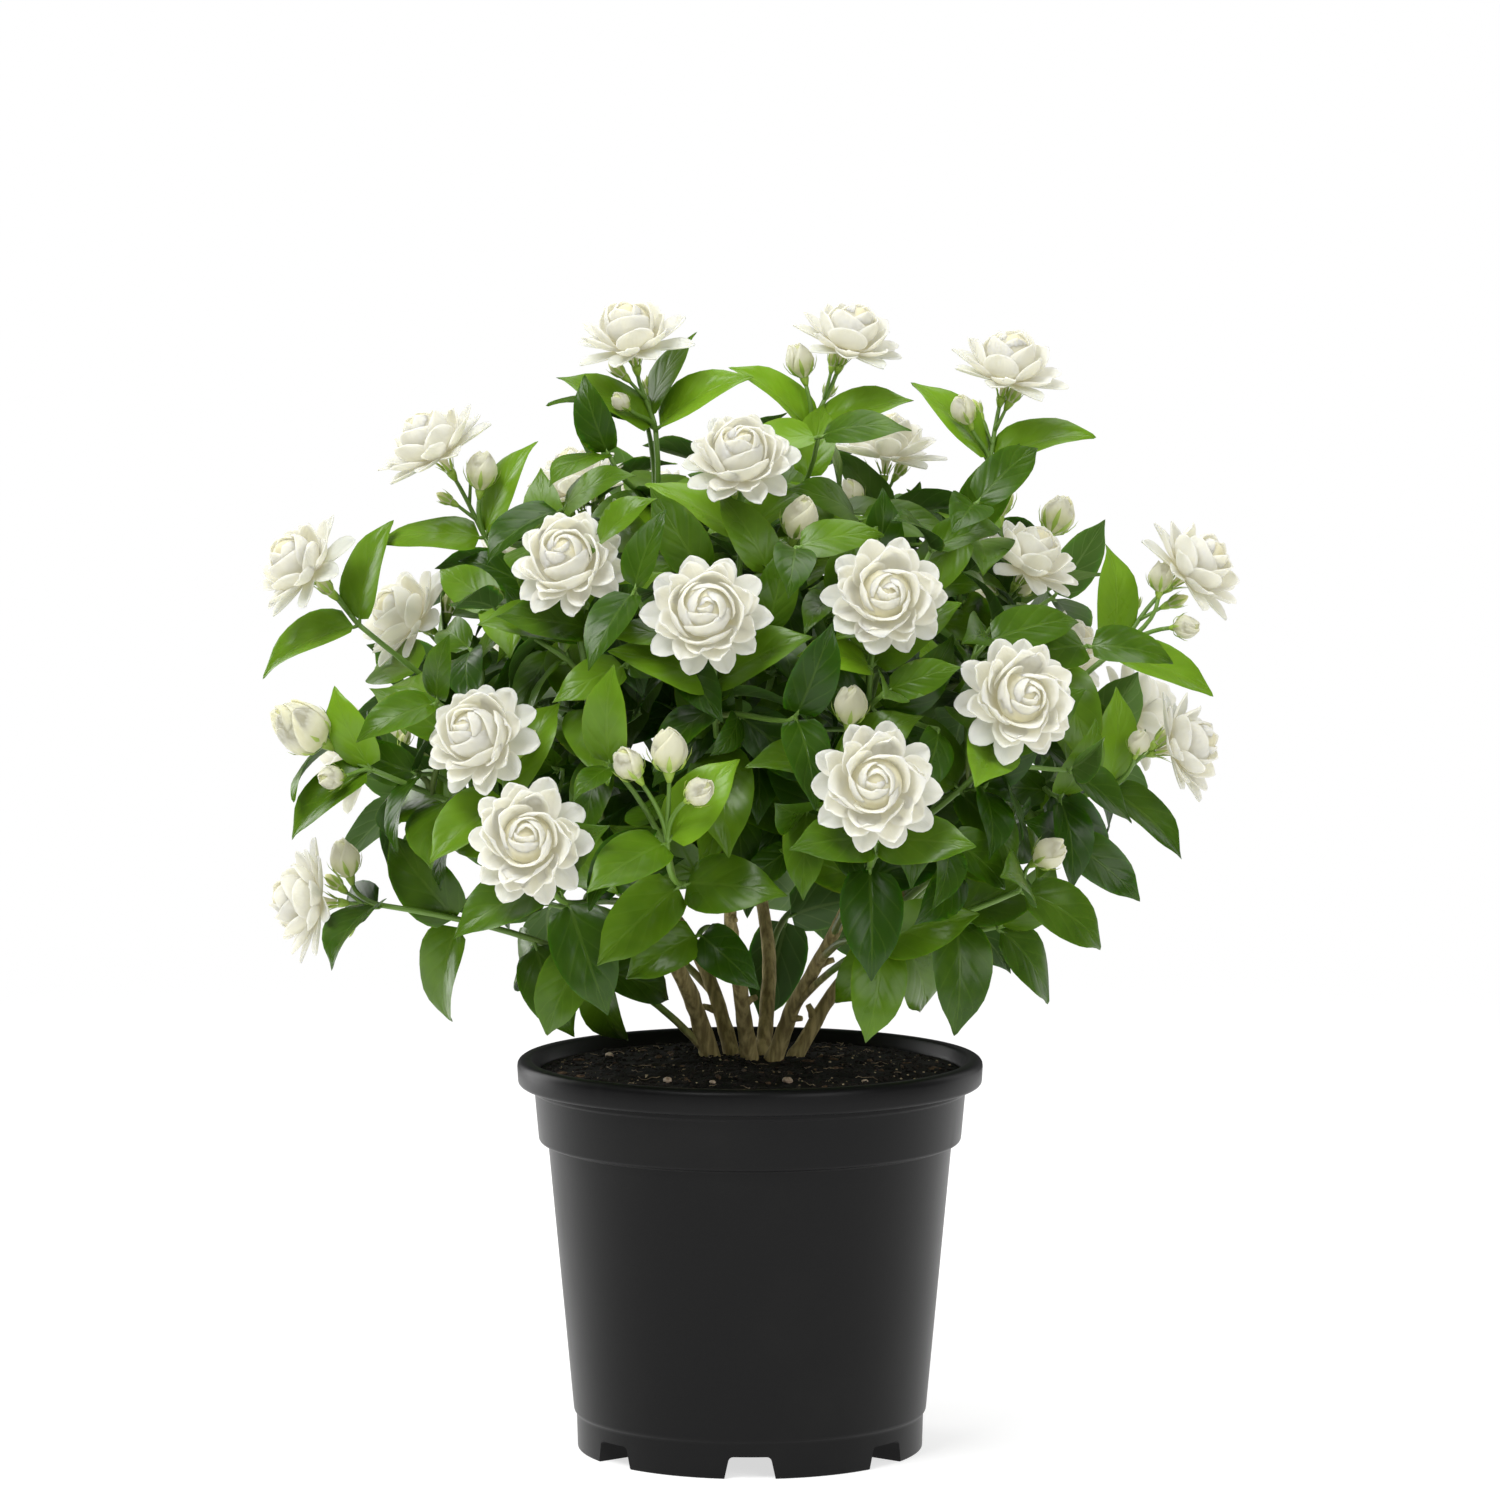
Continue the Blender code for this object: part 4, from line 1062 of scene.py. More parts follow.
BUDS = (
    Head("top_left", (-52, -20, 428), (-0.6, -0.5, 0.6), 0.55),
    Head("top_middle", (20, 0, 444), (-0.25, 0, 1), 0.9),
    Head("top_right", (86, 2, 424), (-0.4, -0.2, 0.9), 0.8),
    Head("high_left", (-108, -6, 400), (0.1, -0.1, 1)),
    Head("high_bud", (20, -64, 384), (0.3, -0.35, 0.9), 1.1),
    Head("high_right_back", (42, 50, 388), (-0.4, -0.2, 0.9), 0.75),
    Head("front_bud", (39, -121, 315), (0.1, -0.35, 0.95)),
    Head("front_trio", (-31, -146, 300), (0, -0.35, 1), 1.15),
    Head("front_trio", (-47, -143, 294), (-0.6, -0.35, 0.9), 0.9),
    Head("front_trio", (-19, -152, 284), (0.6, -0.7, 0.5), 0.85),
    Head("left_low", (-163, -30, 245), (-0.3, -0.1, 1), 0.95),
    Head("left_globe", (-180, -62, 302), (-0.75, -0.35, 0.55), 1.6, Heart.HALF_OPEN),
    Head("left_globe", (-163, -52, 302), (-0.2, 0.1, 1), 0.7),
    Head("left_globe", (-166, -68, 281), (-0.6, -0.7, 0), 0.75),
    Head("far_right", (166, -4, 357), (0.1, 0, 1), 0.8),
    Head("far_right", (176, -16, 337), (0.7, -0.6, 0.1), 0.75),
    Head("right_low", (156, -30, 292), (0.2, -0.4, 0.9), 0.7),
    Head("right_twig", (118, -92, 254), (0.7, -0.4, 0.5), 0.95),
    Head("right_up", (102, 60, 386), (-0.1, 0.2, 1), 1.1),
    Head("right_up", (128, 64, 378), (0.4, 0.3, 0.9), 1.1),
    Head("back_high", (-21, 138, 354), (-0.6, 0.4, 0.7), 0.9),
    Head("back_low", (18, 156, 284), (0.6, 0.5, 0.6), 0.9),
    Head("back_far_left", (-148, 96, 284), (0, 0.3, 1), 0.9),
)


@dataclass(frozen=True)
class Blade:
    """The middle line of a leaf: a circular arc from its root, which bends away from its face."""

    root: Vector
    along: Vector
    face: Vector
    length: float
    bend: float
    width: float
    fullness: float = 0.72
    tip_starts: float = 0.7
    tip_narrows: float = 0.55

    def half_width(self, share: float) -> float:
        """Half the width at a share of the length: broad below the middle, tip drawn out."""
        past = max(share - self.tip_starts, 0) / (1 - self.tip_starts)
        drawn_out = 1 - self.tip_narrows * past**2 * (3 - 2 * past)
        plain = max(sin(pi * share**self.fullness), 0) ** self.fullness
        return self.width / 2 * plain * drawn_out

    def point(self, share: float, side: float, lift: float) -> Vector:
        """Give a point of the blade.

        Args:
            share: the share of the length.
            side: how far to the right of the middle.
            lift: how far off the face.

        Returns:
            The point.
        """
        sine, cosine = sin(self.bend * share), cos(self.bend * share)
        middle = self.along * sine - self.face * (1 - cosine)
        face = self.face * cosine + self.along * sine
        sideways = self.along.cross(self.face) * side
        return self.root + middle * (self.length / self.bend) + sideways + face * lift


@dataclass
class LeafHabit:
    """How leaves stand on their shoots, the same as in the solids."""

    pair_spacing: float = 33 * MM
    aspect: float = 0.52
    pair_sizes: tuple = (0.92, 1, 0.94, 0.86)
    turns: tuple = (0, 16, -16, 32, -32, 48, -48)
    tilts: tuple = (0, -16, 16, -32, 32)
    sizes: tuple = (1.0, 0.86, 0.72, 0.58)
    crown_rise: float = 50
    rise_lost_a_pair: float = 18
    outer_sag: float = 14
    crown_sag: float = 0.35
    sag_gained_a_pair: float = 0.35
    crown_bend: float = 12
    bend_gained_a_pair: float = 8
    bend_from_droop: float = 0.8
    leafy_share: float = 0.8
    face_to_light: float = 0.75
    light_from_above: float = 0.8
    light_from_outside: float = 0.4
    light_from_nearer_side: float = 0.8
    heart: Vector = field(default_factory=lambda: mm(0, 30, 250))

    def trials(self) -> list[tuple[float, float, float]]:
        """Give the turns, tilts and sizes that a leaf may take, the least changed first."""
        trials = [
            (turn, tilt, size)
            for size, turn, tilt in product(self.sizes, self.turns, self.tilts)
        ]
        return sorted(trials, key=lambda trial: abs(trial[0]) + abs(trial[1]) + 110 * (1 - trial[2]))

    def light_at(self, place: Vector) -> Vector:
        """Give the way that leaves face at a place: up, outwards, and to its front or back."""
        outward = (place - self.heart).normalized()
        nearer_side = BACK if place.y > self.heart.y else -BACK
        light = UP * self.light_from_above + outward * self.light_from_outside
        return (light + nearer_side * self.light_from_nearer_side).normalized()

    def pairs_on(self, shoot: Shoot, route: Route) -> int:
        """Give the number of pairs of leaves that a shoot carries in the solids."""
        return min(shoot.pairs, 1 + int(self.leafy_share * route.length / self.pair_spacing))

    def blade(self, shoot: Shoot, route: Route, pair: int, hand: int, trial: tuple) -> Blade:
        """Give the blade of one leaf.

        Args:
            shoot: the shoot that carries it.
            route: the shoot's plain middle line.
            pair: the pair's number, down from the crown.
            hand: its side, 0 or 1.
            trial: its turn, tilt and size.

        Returns:
            The blade.
        """
        turn, tilt, size = trial
        root, tangent = route.at(1 - pair * self.pair_spacing / route.length)
        points_at_viewer = abs(shoot.direction.y) > 0.6
        right = tangent.cross(UP if points_at_viewer else BACK).normalized()
        around = shoot.roll + 90 * pair + 180 * hand + turn
        outward = Matrix.Rotation(radians(around), 3, tangent) @ right
        away = (root - self.heart).normalized().dot(outward)
        rise = self.crown_rise - self.rise_lost_a_pair * pair - self.outer_sag * away + tilt
        rise = radians(rise)
        heading = outward * cos(rise) + tangent * sin(rise)
        sag = self.crown_sag + self.sag_gained_a_pair * pair
        heading = (heading - UP * sag * sin(radians(shoot.droop))).normalized()
        face = tangent * cos(rise) - outward * sin(rise)
        face = face.lerp(self.light_at(root), self.face_to_light)
        face = (face - heading * face.dot(heading)).normalized()
        length = shoot.leaf * MM * self.pair_sizes[min(pair, 3)] * size
        bend = self.crown_bend + self.bend_gained_a_pair * pair
        bend += self.bend_from_droop * shoot.droop
        return Blade(root, heading, face, length, radians(bend), length * self.aspect)


# Sub-assemblies


@dataclass
class NurseryPot:
    """The moulded pot: a rolled rim, a collar, a tapered body and a notched foot ring."""

    wall: float = 1.6 * MM
    collar_top: float = 87.8 * MM
    collar_foot: float = 86 * MM
    collar_foot_height: float = 126.5 * MM
    body_top: float = 82.3 * MM
    body_foot: float = 72 * MM
    step_height: float = 15.5 * MM
    foot: float = 70.5 * MM
    pad: float = 20 * MM
    floor_underside: float = 11 * MM
    floor_thickness: float = 2.2 * MM
    rim_depth: float = 10.5 * MM
    rim_flare: float = 2.8 * MM
    sides: int = 140
    notches: int = 7
    notch_height: float = 9 * MM
    notch_top_width: float = 16.6 * MM
    notch_foot_width: float = 21.4 * MM
    notch_depth: float = 56 * MM
    notch_rounding: float = 1.6 * MM
    sharp_angle: float = 32

    def section(self) -> list[Pair]:
        """Give the pot's rounded section, from the floor's middle up the inside and down."""
        low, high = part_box("pot")
        rim, height = (high.x - low.x) / 2, high.z
        floor = self.floor_underside + self.floor_thickness
        inner = self.collar_top - self.wall
        foot_inside = self.foot - self.pad
        corners = [
            (0, floor, 0),
            (self.body_foot - self.wall, floor, 3 * MM),
            (self.body_top - self.wall, self.collar_foot_height - 3 * MM, 1 * MM),
            (self.collar_foot - self.wall, self.collar_foot_height + 1 * MM, 1 * MM),
            (inner, height - 5 * MM, 1 * MM),
            (inner + self.rim_flare, height, 1.2 * MM),
            (rim, height, 3.0 * MM),
            (rim - 0.6 * MM, height - self.rim_depth, 1.6 * MM),
            (self.collar_top + 0.8 * MM, height - self.rim_depth, 0.6 * MM),
            (self.collar_top + 0.8 * MM, height - self.rim_depth - 2.4 * MM, 0.5 * MM),
            (self.collar_top, height - self.rim_depth - 2.8 * MM, 0.5 * MM),
            (self.collar_foot, self.collar_foot_height, 1.2 * MM),
            (self.body_top, self.collar_foot_height - 0.8 * MM, 0.6 * MM),
            (self.body_foot, self.step_height, 0.8 * MM),
            (self.foot + 0.4 * MM, self.step_height - 1.2 * MM, 0.8 * MM),
            (self.foot, 0, 0.6 * MM),
            (foot_inside, 0, 0.6 * MM),
            (foot_inside, self.floor_underside, 1 * MM),
            (0, self.floor_underside, 0),
        ]
        return rounded(corners, 4)

    def notch_cutter(self) -> Object:
        """Make the seven round-cornered wedges that cut the foot ring."""
        bm = bmesh.new()
        rounding = {"affect": "EDGES", "segments": 4, "profile": 0.5, "material": -1}
        for index in range(self.notches):
            made = bmesh.ops.create_cube(bm, size=1)["verts"]
            for vert in made:
                upper = vert.co.z > 0
                half = (self.notch_top_width if upper else self.notch_foot_width) / 2
                vert.co = (
                    copysign(half, vert.co.x),
                    -self.foot + copysign(self.notch_depth / 2, vert.co.y),
                    self.notch_height if upper else -2 * MM,
                )
            runs = [
                edge
                for edge in dict.fromkeys(edge for vert in made for edge in vert.link_edges)
                if abs(edge.verts[0].co.y - edge.verts[1].co.y) > self.notch_depth / 2
                and edge.verts[0].co.z > 0
            ]
            bevelled = bmesh.ops.bevel(bm, geom=runs, offset=self.notch_rounding, **rounding)
            made = list({*[vert for vert in made if vert.is_valid], *bevelled["verts"]})
            turn = Matrix.Rotation(2 * pi * index / self.notches, 3, "Z")
            bmesh.ops.rotate(bm, verts=made, cent=(0, 0, 0), matrix=turn)
        face_outwards(bm)
        return put("notches", mesh_of(bm, "notches"))

    def build(self) -> None:
        """Turn the pot, cut its notches and show it."""
        blank = put("pot_blank", mesh_of(turned(self.section(), self.sides), "pot_blank"))
        cutter = self.notch_cutter()
        boolean = blank.modifiers.new("notches", "BOOLEAN")
        boolean.operation = "DIFFERENCE"
        boolean.object = cutter
        graph = bpy.context.evaluated_depsgraph_get()
        cut = bpy.data.meshes.new_from_object(blank.evaluated_get(graph))
        bpy.data.objects.remove(blank, do_unlink=True)
        bpy.data.objects.remove(cutter, do_unlink=True)
        bm = begin()
        bm.from_mesh(cut)
        bpy.data.meshes.remove(cut)
        smooth(bm.faces)
        for edge in bm.edges:
            edge.smooth = edge.calc_face_angle(0) < radians(self.sharp_angle)
        show(bm, "pot_shell", Slot.POT, ["pot"], PotPlastic().material())


@dataclass
class SoilFill:
    """The pot's fill, with the crumbs, chips, fibres and pebbles that lie on it."""

    edge_height: float = 154.5 * MM
    mound: float = 3.0 * MM
    edge: float = 86 * MM
    shoulder: tuple = ((84 * MM, 129 * MM), (80 * MM, 123 * MM))
    floor: float = 13.6 * MM
    foot: float = 70 * MM
    rings: int = 46
    sides: int = 150
    grains: tuple = ((0.31, 38, 1.82 * MM), (1.7, 160, 1.092 * MM), (4.2, 420, 0.52 * MM))
    crumbs: int = 1700
    kinds: tuple = (80, 5, 15)
    kind_sizes: tuple = (1, 0.9, 0.42)
    fibres: int = 46
    fibre_lengths: tuple = (3, 11)
    fibre_steps: int = 5
    pebbles: tuple = (
        (-33, -45, 2.0), (15, -47, 2.1), (-15, -53, 1.3), (46, -44, 1.2), (-58, 30, 1.8)
    )
    pebble_form: tuple = (1.15, 0.9, 0.72, 1)

    def height_at(self, x: float, y: float) -> float:
        """Give the soil's height at a place.

        Args:
            x: the place along X, in metres.
            y: the place along Y.

        Returns:
            The height, in metres.
        """
        out = min(hypot(x, y) / self.edge, 1)
        rough = sum(
            noise.noise(Vector((x, y, layer)) * scale) * depth for layer, scale, depth in self.grains
        )
        return self.edge_height + self.mound * (1 - out**2) + rough * (1 - out**6)

    def body(self) -> None:
        """Turn the fill and roughen its top."""
        top = [
            (self.edge * step / self.rings, self.edge_height + self.mound)
            for step in range(self.rings + 1)
        ]
        rest = [*self.shoulder, (self.foot, self.floor), (0, self.floor)]
        bm = turned(top + rest, self.sides)
        for vert in bm.verts:
            if vert.co.z > self.edge_height:
                vert.co.z = self.height_at(vert.co.x, vert.co.y)
        smooth(bm.faces)
        show(bm, "soil_fill", Slot.SOIL, ["soil"], MoistSoil().material())

    def lie(self, draw: Random, reach: float = 0.97) -> Vector:
        """Draw a place on the soil, anywhere inside a share of its edge."""
        around = draw.uniform(0, 2 * pi)
        radius = self.edge * reach * sqrt(draw.random())
        x, y = radius * cos(around), radius * sin(around)
        return Vector((x, y, self.height_at(x, y)))

    def lump_at(self, bm: BMesh, place: Vector, sizes: Colour, draw: Random) -> list[BMFace]:
        """Add an irregular lump.

        Args:
            bm: the mesh being built.
            place: its middle.
            sizes: its half sizes, in metres.
            draw: the seeded draw.

        Returns:
            Its faces.
        """
        verts, faces = add_blank(bm, blank_lump())
        turn = Matrix.Rotation(draw.uniform(0, 2 * pi), 4, "Z")
        turn @= Matrix.Rotation(draw.uniform(-0.6, 0.6), 4, "X")
        for vert in verts:
            vert.co *= draw.uniform(0.72, 1.22)
        matrix = Matrix.Translation(place) @ turn @ Matrix.Diagonal((*sizes, 1))
        for vert in verts:
            vert.co = matrix @ vert.co
        return faces

    def scatter(self) -> None:
        """Scatter crumbs, chips and specks over the soil."""
        draw = Random(11)
        bm = begin()
        for _ in range(self.crumbs):
            kind = draw.choices((0, 1, 2), self.kinds)[0]
            size = draw.uniform(0.5, 1.7) * MM * self.kind_sizes[kind]
            stretch = (1, draw.uniform(1.6, 3.2), 1)[kind]
            place = self.lie(draw)
            faces = self.lump_at(bm, place, (size * stretch, size, size * 0.7), draw)
            for face in faces:
                face.material_index = kind
        materials = (CRUMB.material(), CHIP.material(), SPECK.material())
        show(bm, "soil_crumbs", Slot.SOIL, [], *materials)

    def lay_fibres(self) -> None:
        """Lay thin roots and fibres on the soil."""
        draw = Random(23)
        bm = begin()
        for _ in range(self.fibres):
            x, y, _ = self.lie(draw, 0.9)
            heading = draw.uniform(0, 2 * pi)
            points = []
            step = draw.uniform(*self.fibre_lengths) * MM / self.fibre_steps
            for _ in range(self.fibre_steps + 1):
                points.append(Vector((x, y, self.height_at(x, y) + draw.uniform(0.4, 1.4) * MM)))
                heading += draw.uniform(-0.7, 0.7)
                x, y = x + cos(heading) * step, y + sin(heading) * step
            radii = tapered(0.22 * MM, 0.1 * MM, len(points))
            limb(bm, Route(tuple(points)), radii, 4, [1] * len(points))
        show(bm, "soil_fibres", Slot.SOIL, [], FIBRE.material())

    def lay_pebbles(self) -> None:
        """Lay the few pale pebbles."""
        draw = Random(5)
        bm = begin()
        for x, y, size in self.pebbles:
            place = Vector((x * MM, y * MM, self.height_at(x * MM, y * MM) + size * 0.35 * MM))
            verts = bmesh.ops.create_icosphere(bm, subdivisions=3, radius=size * MM)["verts"]
            turn = Matrix.Rotation(draw.uniform(0, 3), 4, "Z")
            for vert in verts:
                vert.co *= 1 + 0.14 * noise.noise(vert.co * 900 + place * 50)
            matrix = Matrix.Translation(place) @ turn @ Matrix.Diagonal(self.pebble_form)
            bmesh.ops.transform(bm, verts=verts, matrix=matrix)
        smooth(bm.faces)
        show(bm, "soil_pebbles", Slot.SOIL, [], PEBBLE.material())

    def build(self) -> None:
        """Build the fill and all that lies on it."""
        self.body()
        self.scatter()
        self.lay_fibres()
        self.lay_pebbles()


@dataclass(frozen=True)
class Row:
    """A row of petals round a flower's axis, with all sizes in millimetres.

    A petal's middle line bends from its base to its tip, past its belly. Each of these is a
    radius from the flower's axis and a height. `turn` is how far the row is turned, in petals.
    """

    petals: int
    base: Pair
    belly: Pair
    tip: Pair
    turn: float

    def angles(self, draw: Random, stray: float) -> Iterator[float]:
        """Give each petal's angle, which strays by up to a share of its part of the round."""
        for number in range(self.petals):
            place = number + self.turn + draw.uniform(-stray, stray)
            yield 2 * pi / self.petals * place


@dataclass(frozen=True)
class Spread(Row):
    """A row of petals that spread out.

    `cup` is the radius of a petal's cross-section, `skew` is how far one side of it stands
    over the next petal, and `droop` is how far its tips stray up and down.
    """

    width: float
    cup: float
    skew: float
    droop: float


@dataclass(frozen=True)
class Wrap(Row):
    """A row of petals that wrap round the flower's axis.

    `span` is a petal's width as a share of its even part of the round, and `spiral` is how
    far its one edge stands in and the other out. Its rim curls out by `lip`. `blunt` is 0.5
    for a round rim and more for a pointed one. `twist` winds it round the axis, in radians.
    """

    span: float
    spiral: float
    lip: float
    blunt: float
    cream: float
    twist: float = 0


def bend(base: Vector, belly: Vector, tip: Vector, share: float) -> tuple[Vector, Vector]:
    """Give the point and the slope of a petal's middle line at a share of its length."""
    rest = 1 - share
    line = base * rest**2 + belly * (2 * share * rest) + tip * share**2
    return line, ((belly - base) * rest + (tip - belly) * share).normalized()


def petal_frame(radial: Vector, line: Vector, slope: Vector) -> tuple[Vector, Vector]:
    """Give a middle line's point in the flower's frame, and the way that its petal faces."""
    return radial * line.x + UP * line.y, radial * -slope.y + UP * slope.x


@dataclass
class Flower:
    """A kind of flower: petals that spread, petals that wrap, and a core that they hide.

    The core is a height and a radius at each of its rings. `stray` is how far the heart leans
    off the axis at the flower's full height. Both are in millimetres.
    """

    spreads: tuple[Spread, ...]
    wraps: tuple[Wrap, ...]
    core: tuple[Pair, ...]
    thickness: float = 0.9
    stray: float = 0
    height: float = 20
    spread_shares: tuple = (0, 0.22, 0.42, 0.6, 0.74, 0.86, 0.94, 0.985, 1)
    wrap_shares: tuple = (0, 0.3, 0.5, 0.66, 0.8, 0.9, 0.965, 0.99, 1)
    spread_stray: float = 0.16
    wrap_stray: float = 0.12
    widest: float = 0.68
    foot_width: float = 0.32
    pointed: Pair = (0.5, 0.86)

    def outline(self, share: float, pointed: float) -> float:
        """Give a petal's half width, as a share of its greatest.

        Args:
            share: the share of its length.
            pointed: 0.5 for a round rim and more for a pointed one.

        Returns:
            The share.
        """
        if share < self.widest:
            rise = share / self.widest
            return self.foot_width + (1 - self.foot_width) * sin(rise * pi / 2)
        past = (share - self.widest) / (1 - self.widest)
        return max(1 - past**2.1, 0) ** pointed

    def spread(self, row: Spread, around: float, draw: Random) -> Sheet:
        """Give the form of a petal that spreads.

        Args:
            row: the row that it stands in.
            around: its angle round the axis.
            draw: the seeded draw, so that no two petals are the same.

        Returns:
            The sheet's point for a share, a side and a face.
        """
        longer, wider = draw.uniform(0.91, 1.03), draw.uniform(0.9, 1.1)
        droop = draw.uniform(-1, 1) * row.droop
        ruffle, phase = draw.uniform(0.1, 0.4), draw.uniform(0, 2 * pi)
        pointed = draw.uniform(*self.pointed)
        groove = draw.uniform(0.2, 0.8)
        lean = draw.uniform(-1.6, 1.6)
        cup = row.cup * draw.uniform(0.85, 1.3)
        radial = compass(around)
        sideways = UP.cross(radial)
        base, belly, tip = (Vector(point) for point in (row.base, row.belly, row.tip))
        tip = Vector((base.x + (tip.x - base.x) * longer, tip.y + droop))
        belly = Vector((belly.x, belly.y + droop * 0.3))

        def place(share: float, side: float, face: float) -> Vector:
            """Give the petal's point."""
            line, slope = bend(base, belly, tip, share)
            half = row.width / 2 * wider * self.outline(share, pointed)
            turn = half * side / cup
            lift = cup * (1 - cos(turn)) + row.skew * side * share
            lift += ruffle * sin(phase + 4 * share + 2 * side) * side**2 * share
            lift -= groove * max(1 - 2.4 * abs(side), 0) * share
            lift += face * self.thickness / 2 * (1 - 0.35 * share)
            across = cup * sin(turn) + lean * share**2
            point, inward = petal_frame(radial, line, slope)
            return (point + sideways * across + inward * lift) * MM

        return place

    def wrap(self, row: Wrap, around: float, lean: Vector, draw: Random) -> Sheet:
        """Give the form of a petal that wraps round the axis.

        Args:
            row: the row that it stands in.
            around: its angle round the axis.
            lean: how far the heart leans at its full height.
            draw: the seeded draw.

        Returns:
            The sheet's point for a share, a side and a face.
        """
        half = pi / row.petals * row.span * draw.uniform(0.92, 1.06)
        wave, phase = draw.uniform(0.1, 0.35), draw.uniform(0, 2 * pi)
        base, belly = Vector(row.base), Vector(row.belly)
        tip = Vector((row.tip[0] + draw.uniform(-0.5, 0.7), row.tip[1] + draw.uniform(-0.8, 0.5)))

        def place(share: float, side: float, face: float) -> Vector:
            """Give the petal's point."""
            line, slope = bend(base, belly, tip, share)
            past = max(share - 0.5, 0) / 0.5
            angle = around + half * side * max(1 - past**2.6, 0) ** row.blunt
            angle += row.twist * share
            lift = row.spiral * side * share
            lift -= row.lip * max((share - 0.72) / 0.28, 0) ** 2
            lift += wave * sin(phase + 3 * side) * share**3
            lift += face * self.thickness / 2 * (1.1 - 0.25 * share)
            shift = lean * (line.y / self.height) ** 2
            point, inward = petal_frame(compass(angle), line, slope)
            return (point + inward * lift + shift) * MM

        return place

    def add(self, bm: BMesh, seed: int) -> None:
        """Add one flower in its own frame, with +Z along the way it faces.

        Args:
            bm: the mesh being built.
            seed: sets the flower's own draw.
        """
        draw = Random(seed)
        cream = bm.faces.layers.float["cream"]
        for row in self.spreads:
            for around in row.angles(draw, self.spread_stray):
                thin_sheet(bm, self.spread(row, around, draw), self.spread_shares, 12)
        lean = compass(draw.uniform(0, 2 * pi)) * self.stray
        for row in self.wraps:
            for around in row.angles(draw, self.wrap_stray):
                sheet = self.wrap(row, around, lean, draw)
                for face in thin_sheet(bm, sheet, self.wrap_shares, 16):
                    face[cream] = row.cream
        points = tuple(
            (UP * height + lean * (height / self.height) ** 2) * MM for height, _ in self.core
        )
        limb(bm, Route(points), [radius * MM for _, radius in self.core], 14, [0] * len(points))


NECK = ((-9, 1.3), (-6, 1.5), (-3, 2.2), (-1, 3.6), (3, 7.0))
OUTER_PETALS = (
    Spread(10, (2.4, -1.8), (13.0, -0.8), (24.2, 1.6), 0.0, 12.0, 7.6, 0.6, 3.0),
    Spread(8, (2.4, -0.8), (13.5, -0.2), (20.8, 7.6), 0.45, 12.4, 7.8, 1.0, 2.4),
    Spread(6, (2.4, -0.2), (14.2, 1.4), (16.8, 12.2), 0.2, 12.6, 8.2, 1.4, 1.6),
)
ROSETTE = Flower(
    spreads=OUTER_PETALS,
    wraps=(
        Wrap(4, (2.4, 0.0), (15.2, 3.0), (12.6, 12.4), 0.1, 1.15, 2.6, 2.2, 0.56, 0.1),
        Wrap(3, (2.2, 1.5), (12.8, 6.0), (8.4, 15.2), 0.45, 1.3, 2.3, 1.3, 0.50, 0.2),
        Wrap(3, (2.0, 3.0), (9.8, 9.8), (3.9, 16.8), 0.2, 1.3, 0.8, 0.2, 0.50, 0.3),
        Wrap(2, (1.8, 6.0), (6.4, 13.2), (1.4, 17.6), 0.5, 1.25, 0.6, 0.0, 0.50, 0.45),
    ),
    core=NECK + ((7, 9.4), (10, 9.0), (12, 7.2), (14, 4.6), (15.2, 2.4), (15.6, 0.8)),
    stray=2.6,
)
GLOBE = Flower(
    spreads=OUTER_PETALS,
    wraps=(
        Wrap(4, (2.4, 0.0), (16.2, 3.0), (11.8, 13.4), 0.1, 1.3, 1.5, 1.1, 0.42, 0.05),
        Wrap(3, (2.2, 1.0), (14.4, 7.0), (6.8, 17.0), 0.5, 1.35, 1.1, 0.4, 0.46, 0.15),
        Wrap(3, (2.0, 3.0), (11.6, 11.6), (3.4, 19.4), 0.2, 1.3, 0.9, 0.1, 0.5, 0.25),
        Wrap(2, (1.6, 6.0), (6.4, 15.4), (1.2, 20.2), 0.6, 1.2, 0.5, 0.0, 0.5, 0.4),
    ),
    core=NECK + ((8, 9.4), (12, 9.0), (15, 6.8), (17.2, 4.2), (18.4, 1.8), (18.8, 0.6)),
    stray=1.6,
)
CUPPED = Flower(
    spreads=(
        Spread(8, (2.4, -1.8), (12.6, -1.6), (27.4, 1.6), 0.0, 11.2, 8.4, 0.3, 3.8),
        Spread(7, (2.4, -0.8), (14.0, -0.8), (23.4, 8.6), 0.45, 12.6, 7.8, 0.6, 2.8),
    ),
    wraps=(
        Wrap(5, (2.4, 0.0), (16.6, 2.4), (14.0, 13.6), 0.1, 1.1, 1.4, 1.1, 0.52, 0.05),
        Wrap(3, (2.2, 1.0), (14.4, 7.0), (8.0, 17.0), 0.5, 1.3, 1.0, 0.4, 0.46, 0.1),
        Wrap(3, (2.0, 3.0), (11.2, 11.4), (3.6, 19.2), 0.2, 1.2, 0.8, 0.1, 0.5, 0.2),
    ),
    core=GLOBE.core,
    stray=1.6,
)
FURLED_BUD = Flower(
    spreads=(),
    wraps=(
        Wrap(3, (1.2, 0.2), (10.8, 6.6), (1.8, 15.2), 0.0, 1.15, 0.5, 0.0, 0.55, 0.1, 1.1),
        Wrap(2, (1.0, 2.0), (9.4, 8.6), (1.0, 16.0), 0.3, 1.2, 0.4, 0.0, 0.55, 0.3, 1.1),
    ),
    core=((-0.4, 1.2), (1, 3.0), (4, 4.9), (8, 5.2), (12, 3.9), (14.6, 1.6)),
    thickness=0.6,
)
